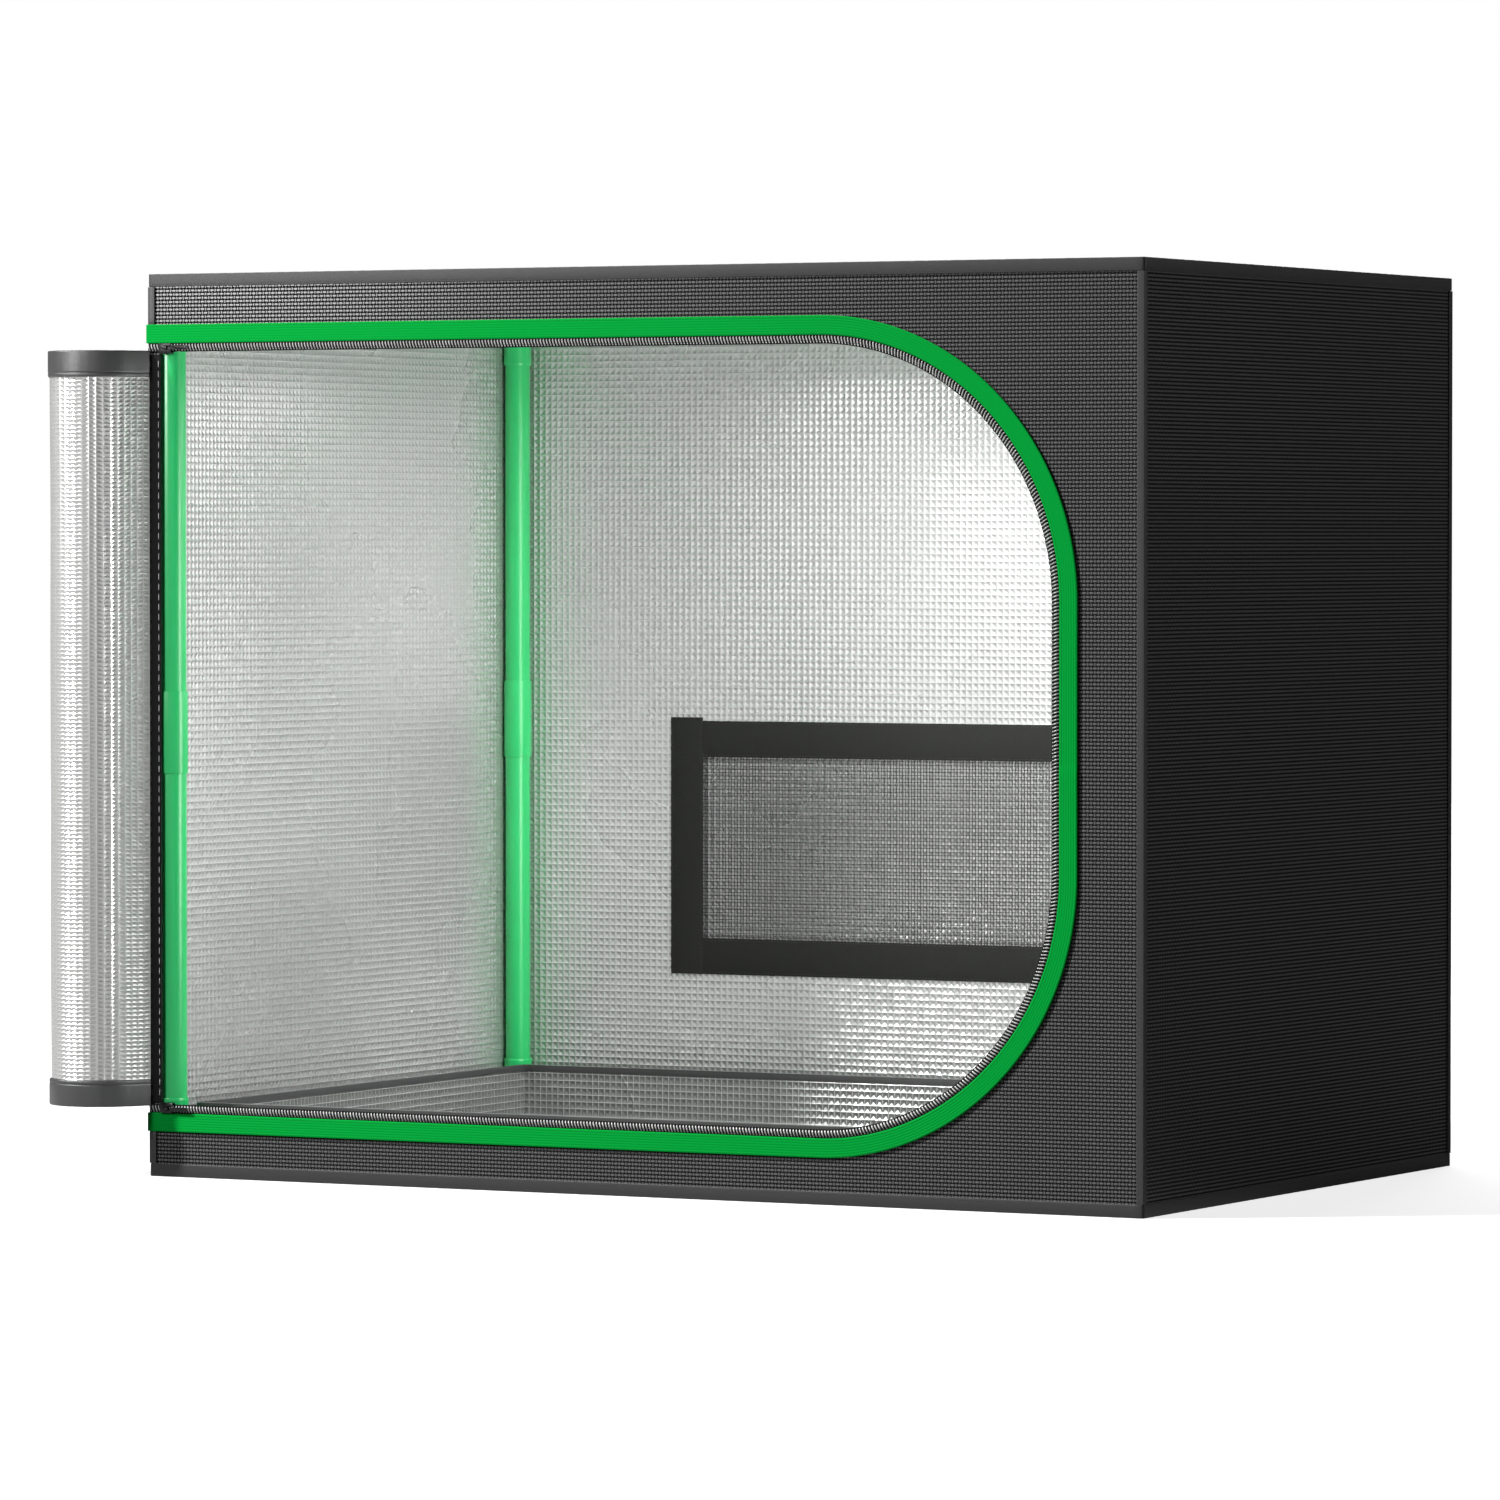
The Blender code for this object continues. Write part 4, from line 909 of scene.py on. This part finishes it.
rollLook = {"hinge": (-455.5, -305.8), "offset": 48.6, "radius": 42.3, "pitch": 5.0, "width": 833.8, "corner": 205.3,
            "low": 81.0, "high": 664.7, "ease": 2.0, "fabric": 1.2, "hem": 22.0, "hemThick": 3.5, "hemShift": 0.45,
            "hemLow": 58.7, "hemHigh": 686.6, "seamIn": 3.6, "seamSink": 0.32, "slack": 0.35, "rows": 0.6}


def rollPlan(length, out):
    # Seen from above: straight from the hinge to the roll, then inward. With s the length past the tangent
    # point and t the angle turned, s = r0 t - fall t^2 / 2, so t = (r0 - sqrt(r0^2 - 2 fall s)) / fall.
    first, offset = rollLook["radius"] * mm, rollLook["offset"] * mm
    hinge, tangent = np.array(rollLook["hinge"]) * mm, -math.acos(first / offset)
    axis, lead = hinge - [offset, 0], math.sqrt(offset**2 - first**2)
    fall = rollLook["pitch"] * mm / math.tau
    turned = (first - np.sqrt(first**2 - 2 * fall * np.clip(length - lead, 0, None))) / fall
    normal = np.stack([np.cos(tangent - turned), np.sin(tangent - turned)], -1)
    begin = axis + first * np.array([math.cos(tangent), math.sin(tangent)])
    straight = hinge + (begin - hinge) * np.clip(length / lead, 0, 1)[..., None]
    wound = axis + (first - fall * turned)[..., None] * normal
    return np.where((length < lead)[..., None], straight, wound) + np.asarray(out)[..., None] * normal


def cornerDrop(length):
    # How far the door's round corner lies below its top edge: R - sqrt(R^2 - p^2), p past the straight run.
    radius = rollLook["corner"] * mm
    past = np.clip(length - (rollLook["width"] * mm - radius), 0, radius)
    return radius - np.sqrt(radius**2 - past**2)


def withHeight(plan, z):
    return joined(plan[..., 0], plan[..., 1], z)


def makeRoll():
    look = rollLook
    width, low, high, ease, fabric = (look[key] * mm for key in ("width", "low", "high", "ease", "fabric"))

    def place(u, v, depth):
        drop = cornerDrop(u + ease)
        z = low + drop + v / (high - low) * (high - low - 2 * drop)
        loose = look["slack"] * mm * np.sin(v * 19 + u * 23) * np.sin(v * 7.3 - u * 31 + 1)
        loose = loose * np.clip(u / (60 * mm), 0, 1)
        return withHeight(rollPlan(u, depth - fabric / 2 + loose), z)

    roll = filmMesh("rolled_door", filmCloth(place, (width, high - low), fabric, seed=21, rows=look["rows"]))
    dress(roll, "door", "mirror_film", "door_roll")

    half, tall = look["hemThick"] / 2, look["hem"]
    outline = [(-half, 0), (half, 0), (half, tall - 4.2), (half - 0.5, tall - 3.6), (half, tall - 3.0),
               (half - 0.2, tall), (-half + 0.2, tall), (-half, tall - 3.0), (-half, tall - 4.2)]
    outIn, rise = softSection(outline, 1.3, 4).T * mm
    length = np.concatenate([np.arange(0.6, 24, 3), np.arange(24, look["width"], 2.5), [look["width"]]])[:, None] * mm
    waver = 0.12 * mm * np.sin(length / mm * 0.31) + 0.1 * mm * np.sin(length / mm * 0.83 + 1)
    loose = np.clip(length / (25 * mm), 0, 1) * look["hemShift"] * mm
    out = outIn + (loose + waver * 0.5)
    plan = rollPlan(np.broadcast_to(length, out.shape), out)
    run = np.linspace(26, 300, 220) * mm
    seam = rollPlan(run, np.full(len(run), (half + look["hemShift"] - look["seamSink"]) * mm))
    normal = (rollPlan(run, np.full(len(run), mm)) - rollPlan(run, np.zeros(len(run)))) / mm
    for name, base, sign in (("top", look["hemHigh"] * mm, -1), ("bottom", look["hemLow"] * mm, 1)):
        z = base + sign * (cornerDrop(length) + rise) + waver * 0.4
        hem = stripMesh(f"door_hem_{name}_tape", withHeight(plan, z), hemTape)
        dress(hem, "door", "black_tape", f"door_hem_{name}")
        path = withHeight(seam, base + sign * (tall - look["seamIn"]) * mm)
        stitches(f"door_hem_{name}_stitches", path, withHeight(normal, 0.0), "door", "black_tape",
                             pitch=3.3, girth=0.2)


hingeLook = {"edge": 0.3, "foot": 0.05, "rib": 0.06, "seamOut": 0.03, "seamEnd": 4,
             "seams": ((-446.9, whiteThread), (-454.4, darkThread))}


def makeHingeTape():
    look = hingeLook
    edge, foot, end = look["edge"], look["foot"], look["seamEnd"] * mm
    low, high = span("door_hinge_tape")
    width, thick = (high[0] - low[0]) / mm, (high[1] - low[1]) / mm
    section = [(0, foot), (width, foot), (width, thick - edge)]
    section += [*ribbedFace(edge, width - edge, 25, thick, look["rib"]), (0, thick - edge)]
    across, proud = np.array(section).T * mm
    levels = np.linspace(low[2], high[2], 200)[:, None]
    tape = stripMesh("hinge_tape", joined(low[0] + across, high[1] - proud, levels), zipCloth)
    dress(tape, "tent", "black_tape", "door_hinge_tape")
    for k, (place, thread) in enumerate(look["seams"]):
        path = [(place * mm, low[1] + look["seamOut"] * mm, z) for z in (low[2] + end, high[2] - end)]
        stitches(f"hinge_stitches_{k}", path, (0, -1, 0), "tent", "black_tape", pitch=8.4, length=5.5, girth=0.34,
                 thread=thread)


def softenedCopy(node, name, width, material, body, slot):
    # The CAD piece again with its edges broken; its own mesh stays as it is.
    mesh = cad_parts[node].data.copy()
    bm = bmesh.new()
    bm.from_mesh(mesh)
    bmesh.ops.remove_doubles(bm, verts=bm.verts[:], dist=0.005 * mm)
    bmesh.ops.dissolve_limit(bm, angle_limit=math.radians(1), verts=bm.verts[:], edges=bm.edges[:])
    bm.to_mesh(mesh)
    bm.free()
    mesh.materials.clear()
    mesh.materials.append(material)
    mesh.polygons.foreach_set("use_smooth", np.ones(len(mesh.polygons), bool))
    piece = addThing(name, mesh)
    bevel = piece.modifiers.new("edges", "BEVEL")
    bevel.width, bevel.segments = width * mm, 2
    bevel.limit_method, bevel.angle_limit = "ANGLE", math.radians(25)
    bevel.harden_normals = True
    return dress(piece, body, slot, node)


def makeSliders():
    for end in ("top", "bottom"):
        softenedCopy(f"zip_slider_{end}", f"slider_{end}", 0.25, darkMetal, f"zip_{end}", "dark_metal")
        softenedCopy(f"zip_pull_{end}", f"pull_{end}", 0.25, darkMetal, f"zip_{end}_tab", "dark_metal")


# The window in the back wall: border, net, hook tape and the flap outside

borderLook = {"soft": 0.25, "pucker": 0.15, "split": 0.58, "over": 3, "seamIn": 1.8}
netLook = {"pitch": 2.95, "half": 0.23, "depths": (0.25, 0.55)}
hookLook = {"wide": 20, "soft": 0.2, "turn": 1}
flapSeamIn = 4 * mm


def flatBox(width, near, far, radius):
    # The section of a flat tape: (across it, y).
    return softSection([(0, near), (width, near), (width, far), (0, far)], radius, 2)


def flatStrip(name, low, high, along, depth):
    # A tape lying flat against the back wall between two corners (x, z); depth is (near, far) in Y.
    size = high - low
    across, y = flatBox(size[1 - along], *depth, borderLook["soft"] * mm).T
    steps = np.linspace(0, size[along], max(int(size[along] / (3 * mm)), 2))[:, None]
    wave = borderLook["pucker"] * mm * np.sin(steps / mm * 0.7) * np.sin(steps / mm * 0.11 + 1)
    run, side = low[along] + steps, low[1 - along] + across + wave
    return stripMesh(name, joined(run, y, side) if along == 0 else joined(side, y, run), borderTape)


def makeBorder():
    look, halfX, low, high, border = borderLook, window["halfWidth"], window["low"], window["high"], window["border"]
    near, far = (edge[1] for edge in span("window_border"))
    middle = near + look["split"] * (far - near)
    over = high + border + look["over"] * mm
    for side, a, b, along, depth in (
        ("top", (-halfX - border, high), (halfX + border, high + border), 0, (middle, far)),
        ("bottom", (-halfX - border, low - border), (halfX + border, low), 0, (middle, far)),
        ("left", (-halfX - border, low - border), (-halfX, over), 1, (near, middle)),
        ("right", (halfX, low - border), (halfX + border, over), 1, (near, middle)),
    ):
        ends, name = np.array([a, b]), f"window_tape_{side}"
        strip = flatStrip(name, *ends, along, depth)
        dress(strip, "tent", "black_tape", "window_border")
        for k, edge in enumerate((look["seamIn"] * mm, border - look["seamIn"] * mm)):
            line = ends.copy()
            line[:, 1 - along] = a[1 - along] + edge
            stitches(f"{name}_stitches_{k}", onFace(line, depth[0]), (0, -1, 0), "tent", "black_tape", pitch=3.1,
                     length=2.2, girth=0.17)


def makeNet():
    low, high = span("window_net")
    pitch, half = netLook["pitch"] * mm, netLook["half"] * mm
    box = np.array([(-1, -1), (1, -1), (1, 1), (-1, 1)]) * half
    sets = []
    for axis, other, depth in zip((2, 0), (0, 2), netLook["depths"]):
        count = int((high[other] - low[other] - 2 * half) / pitch)
        spots = np.linspace(low[other] + half, high[other] - half, count)
        rings = np.zeros((count, 2, 4, 3))
        rings[..., other] = spots[:, None, None] + box[:, 0]
        rings[..., 1] = low[1] + depth * mm + box[:, 1]
        rings[:, 0, :, axis], rings[:, 1, :, axis] = low[axis], high[axis]
        sets.append(rings.reshape(-1, 3))
    points = np.concatenate(sets)
    one = np.concatenate([gridFaces(2, 4, closedColumns=True), [[3, 2, 1, 0], [4, 5, 6, 7]]])
    faces = (one[None] + 8 * np.arange(len(points) // 8)[:, None, None]).reshape(-1, 4)
    net = buildMesh("net_cords", points, [faces], [netCord], smooth=False)
    dress(net, "tent", "black_net", "window_net")


def makeFlap():
    low, high = span("flap_hook_strip")
    wide = hookLook["wide"] * mm
    section = flatBox(wide, low[1], high[1], hookLook["soft"] * mm)
    halfU, halfV, level = (high[0] - low[0]) / 2, (high[2] - low[2]) / 2, (high[2] + low[2]) / 2
    hook = loopStrip("hook_tape", halfU, halfV, section, hookTape, hookLook["turn"] * mm,
                     lay=lambda u, v, third: joined(u, third, v + level))
    dress(hook, "tent", "black_tape", "flap_hook_strip")

    low, high = span("window_flap")
    size = (high[0] - low[0], high[2] - low[2])
    place = flatPlace((low[0], high[1], low[2]), (1, 0, 0), (0, 0, 1), (0, -1, 0))
    flap = filmMesh("flap_cloth", filmCloth(place, size, high[1] - low[1], seed=31))
    dress(flap, "flap", "black_canvas", "window_flap")
    x0, z0 = low[0] + flapSeamIn, low[2] + flapSeamIn
    x1, z1 = high[0] - flapSeamIn, high[2] - flapSeamIn
    for k, line in enumerate(((x0, z0, x1, z0), (x0, z1, x1, z1), (x0, z0, x0, z1), (x1, z0, x1, z1))):
        path = onFace(np.reshape(line, (2, 2)), high[1])
        stitches(f"flap_stitches_{k}", path, (0, 1, 0), "flap", "black_canvas", girth=0.18)


ductLook = {"wall": 1.2, "drawIn": 3, "start": 1.7, "length": 44, "flutes": 12, "flute": 1.5, "gathers": 30,
            "gather": 0.45, "sides": 264, "sheetLong": 72}


def makeDuct():
    # A sleeve on a sewn flange. With s from 0 at the wall to 1 at the hem, radius = R - drawIn s^2, and the
    # flutes swing it by depth s cos(12 a) plus finer gathers by the hem. profile is (radius, out from the wall).
    look = ductLook
    base, radius = span("duct_sleeve")[0][1], duct["radius"] / mm
    shares = np.linspace(0.05, 1, 30)
    sleeve = joined(radius - look["drawIn"] * shares**2, look["start"] + look["length"] * shares)
    flange = [(67.0, 0.05), (67.0, 1.0)] + [(r, 1.3) for r in np.linspace(66.6, 56.4, 8)] + [(55.4, 2.2)]
    hem = [(52.9, 46.4), (53.3, 47.6), (53.4, 52), (53.2, 56.2), (52.4, 57.5), (51.4, 57.5), (50.8, 56.6)]
    profile = np.concatenate([flange, sleeve, hem, sleeve[::-1] - [look["wall"], 0], [(53.8, 0.05)]])
    reach, level = profile.T[:, :, None]
    turn = np.arange(look["sides"]) * math.tau / look["sides"]
    share = np.clip((level - 1.5) / 56, 0, 1)
    swing = look["flute"] * share * np.cos(look["flutes"] * turn)
    swing = swing + look["gather"] * share**2 * np.cos(look["gathers"] * turn + 2 * np.sin(3 * turn))

    def about(reach, angle, level):
        return joined(duct["x"] + reach * np.cos(angle) * mm, base + level * mm,
                      duct["z"] + reach * np.sin(angle) * mm)

    cloth = joined(turn * radius, runLength(profile)[:, None]).reshape(-1, 2)
    faces = gridFaces(len(profile), len(turn), closedRows=True, closedColumns=True)
    points = about(reach + swing, turn, level).reshape(-1, 3)
    piece = keepSharp(buildMesh("duct_cloth", points, [faces], [canvas], cloth=cloth), 60)
    dress(piece, "tent", "black_canvas", "duct_sleeve")
    ring = np.linspace(0, math.tau, 140)
    hemReach = 53.6 + look["flute"] * 0.8 * np.cos(look["flutes"] * ring)
    radial = joined(np.cos(ring), 0 * ring, np.sin(ring))
    for name, reach, level, facing in (("flange", 64.5, 1.32, (0, 1, 0)), ("hem", hemReach, 47.0, radial)):
        stitches(f"duct_{name}_stitches", about(reach, ring, level), facing, "tent", "black_canvas", girth=0.18)


# The floor tray

trayLook = {"thick": 1.2, "gap": 0.02, "rimIn": 2.4, "rimOut": 0.3, "rimThick": 0.6, "soft": 0.28, "turn": 2.6,
            "pucker": 0.05}


def makeTray():
    look = trayLook
    thick, gap, inside, outside, rimThick = (
        look[key] * mm for key in ("thick", "gap", "rimIn", "rimOut", "rimThick")
    )
    low, high = span("floor_tray")
    width, depth, height = high - low
    up = (0, 0, 1)
    parts = [filmCloth(flatPlace(low, (1, 0, 0), (0, 1, 0), up), (width, depth), thick, seed=41)]
    foot, rise = low[2] + thick + gap, height - thick - gap
    for k, sign in enumerate((-1, 1)):
        x, y = (low if sign < 0 else high)[:2]
        place = flatPlace((low[0], y, foot), (1, 0, 0), up, (0, -sign, 0))
        parts.append(filmCloth(place, (width, rise), thick, seed=42 + k))
        place = flatPlace((x, low[1] + thick + gap, foot), (0, 1, 0), up, (-sign, 0, 0))
        parts.append(filmCloth(place, (depth - 2 * (thick + gap), rise), thick, seed=44 + k))
    # The tray is lined with the darker copy of the film, a painted shade.
    tray = dress(filmMesh("tray_cloth", *parts, lining=shadedTrayFilm), "tray", "mirror_film", "floor_tray")

    # The rim tape is folded over the tray's edge.
    foot, lid = (edge[2] for edge in span("floor_tray_binding"))
    outline = [(-outside - rimThick, foot), (-outside - rimThick, lid), (inside, lid), (inside, foot),
               (inside - rimThick, foot), (inside - rimThick, lid - rimThick), (-outside, lid - rimThick),
               (-outside, foot)]
    rim = loopStrip("tray_rim_tape", width / 2, depth / 2, softSection(outline, look["soft"] * mm), hemTape,
                    look["turn"] * mm, look["pucker"] * mm)
    dress(rim, "tray", "black_tape", "floor_tray_binding")


# Steel tubes and their corner pieces

frameLook = {"radius": 11, "joinRadius": 12.1, "wall": 0.8, "lip": 0.25, "block": 11.6, "blockRound": 3,
             "core": (442.1, 290.1), "coreLevel": {"bottom": 14.9, "top": 735.1}}
# Socket wall with a rolled mouth: (radius, distance from the core's middle)
socketOutline = [(11.3, 14), (12.1, 9), (12.1, 46.5), (12.25, 47.2), (12.25, 49.4), (12.0, 50), (11.55, 50),
                 (11.3, 49.7)]
# Three ways at right angles for a tube along X, Y or Z, the third along the tube
axisWays = np.array([
    [(0, 1, 0), (0, 0, 1), (1, 0, 0)],
    [(0, 0, 1), (1, 0, 0), (0, 1, 0)],
    [(1, 0, 0), (0, 1, 0), (0, 0, 1)],
], float)


def lathe(outline, sides=48):
    # Turns (radius, height) points about Z into a closed ring of surface.
    reach, height = np.asarray(outline, float).T[:, :, None]
    turn = np.arange(sides) * math.tau / sides
    points = joined(reach * np.cos(turn), reach * np.sin(turn), height).reshape(-1, 3)
    return points, gridFaces(len(outline), sides, closedRows=True, closedColumns=True)


def tubeMesh(name, node, axis, radius):
    # A pipe's wall, with its four edges rounded.
    low, high = span(node)
    half, radius, bore = (high - low)[axis] / 2, radius * mm, (radius - frameLook["wall"]) * mm
    outline = softSection([(bore, -half), (radius, -half), (radius, half), (bore, half)], frameLook["lip"] * mm)
    points, faces = lathe(outline)
    piece = buildMesh(name, (low + high) / 2 + points @ axisWays[axis], [faces], [greenEnamel])
    dress(keepSharp(piece, 50), "tent", "green_enamel", node)


def roundedBlock(half, radius, count):
    # A cube's six grids with points q, pulled to c + radius * (q - c) / |q - c|, c being q held inside the
    # smaller cube of half side half - radius.
    t = np.linspace(-1, 1, count)
    u, v = np.meshgrid(t, t, indexing="ij")
    sides = [(axis, sign) for axis in range(3) for sign in (-1, 1)]
    q = np.concatenate([np.roll(joined(sign, u, v * sign).reshape(-1, 3), axis, 1) for axis, sign in sides]) * half
    inner = np.clip(q, radius - half, half - radius)
    away = q - inner
    faces = np.concatenate([gridFaces(count, count, start=k * count * count) for k in range(len(sides))])
    return inner + radius * away / np.linalg.norm(away, axis=1)[:, None], faces


def makeFrame():
    look = frameLook
    for corner in corners:
        for name, node, radius in (("lower", "lower", "radius"), ("upper", "upper", "radius"),
                                   ("joint", "joiner", "joinRadius")):
            tubeMesh(f"{name}_tube_{corner}", f"post_{node}_{corner}", 2, look[radius])
    for level in ("bottom", "top"):
        for side, axis in (("front", 0), ("back", 0), ("left", 1), ("right", 1)):
            tubeMesh(f"{level}_tube_{side}", f"rail_{level}_{side}", axis, look["radius"])
    block = roundedBlock(look["block"] * mm, look["blockRound"] * mm, 14)
    socket = lathe(np.array(socketOutline) * mm)
    for level, upright in (("bottom", 1), ("top", -1)):
        for corner, (sideX, sideY) in corners.items():
            core = np.array([sideX * look["core"][0], sideY * look["core"][1], look["coreLevel"][level]]) * mm
            points, faces, start = [block[0] + core], [block[1]], len(block[0])
            for axis, sign in ((0, -sideX), (1, -sideY), (2, upright)):
                points.append(core + socket[0] @ (axisWays[axis] * [[sign], [1], [sign]]))
                faces.append(socket[1] + start)
                start += len(points[-1])
            piece = buildMesh(f"{level}_joint_{corner}", np.concatenate(points), faces, [greenEnamel])
            dress(keepSharp(piece, 45), "tent", "green_enamel", f"corner_{level}_{corner}")


def makeBars():
    # The two hanging bars keep the CAD piece's form, with broken edges.
    for side in ("left", "right"):
        softenedCopy(f"hanging_bar_{side}", f"bar_{side}_tube", 0.2, whiteEnamel, f"bar_{side}", "white_enamel")


# The room: white all round to the camera, dimmer to reflections, with a pale floor


def makeRoom():
    world = bpy.data.worlds.new("studio")
    world.use_nodes = True
    bpy.context.scene.world = world
    tree = world.node_tree
    tree.nodes.clear()
    output, backdrop = put(tree, "ShaderNodeOutputWorld"), put(tree, "ShaderNodeBackground")
    do, rays = maths(tree), put(tree, "ShaderNodeLightPath").outputs
    way = splitPlace(tree, put(tree, "ShaderNodeTexCoord").outputs["Generated"])
    # Reflections see a dim room that is dark behind the tent's right side and beside it, and a pale card in front.
    behind = ramp(tree, towards(tree, way, studio["behindWay"]), studio["mirror"], studio["mirrorBehind"], 0.3, 0.8)
    beside = ramp(tree, towards(tree, way, studio["besideWay"]), 1.0, studio["mirrorBeside"], 0.55, 0.95)
    card = ramp(tree, towards(tree, way, studio["cardWay"]), 0.0, studio["card"], 0.8, 0.95)
    mirrored = do("MULTIPLY", rays["Is Glossy Ray"], do("ADD", do("MULTIPLY", behind, beside), card))
    strength = do("MAXIMUM", do("MAXIMUM", rays["Is Camera Ray"], mirrored), rays["Is Transmission Ray"])
    feedAll(tree, backdrop, {"Strength": do("MAXIMUM", strength, studio["ambient"]), "Color": grey(1)})
    tree.links.new(backdrop.outputs[0], output.inputs["Surface"])
    bpy.context.scene.view_settings.view_transform = "Standard"


def makeFloor():
    # Reflections see the floor as well, paler in front than behind the tent, as they see the room.
    material, tree, shader = newMaterial("paleFloor", 0.9, specular=0.1)
    do, rays = maths(tree), put(tree, "ShaderNodeLightPath").outputs
    behind = towards(tree, splitPlace(tree, objectPlace(tree)), studio["behindWay"])
    seenBack = ramp(tree, behind, studio["floorMirror"], studio["floorBehind"], -0.3, 0.3)
    watched = do("MAXIMUM", rays["Is Camera Ray"], rays["Is Transmission Ray"])
    watched = do("MAXIMUM", watched, do("MULTIPLY", rays["Is Glossy Ray"], seenBack))
    feedAll(tree, shader, {
        "Emission Color": grey(1),
        "Emission Strength": do("MULTIPLY", watched, studio["floorGlow"]),
        "Base Color": blendColour(tree, watched, grey(studio["floorBounce"]), grey(studio["floorSeen"])),
    })
    half = studio["floorHalf"]
    points = [(x * half, y * half, studio["floorLevel"]) for x, y in ((-1, -1), (1, -1), (1, 1), (-1, 1))]
    buildMesh("ground", points, [np.array([[0, 1, 2, 3]])], [material], smooth=False)


addCamera()
makeRoom()
makeFloor()
addLights()
print("camera and room")
makePanels()
print("panels")
makeBindings()
makeBand()
makeZip()
print("bindings, webbing and zip")
makeHingeTape()
makeRoll()
makeSliders()
print("rolled door")
makeBorder()
makeNet()
makeFlap()
makeDuct()
makeTray()
print("window, sleeve and tray")
makeFrame()
makeBars()
print("frame")
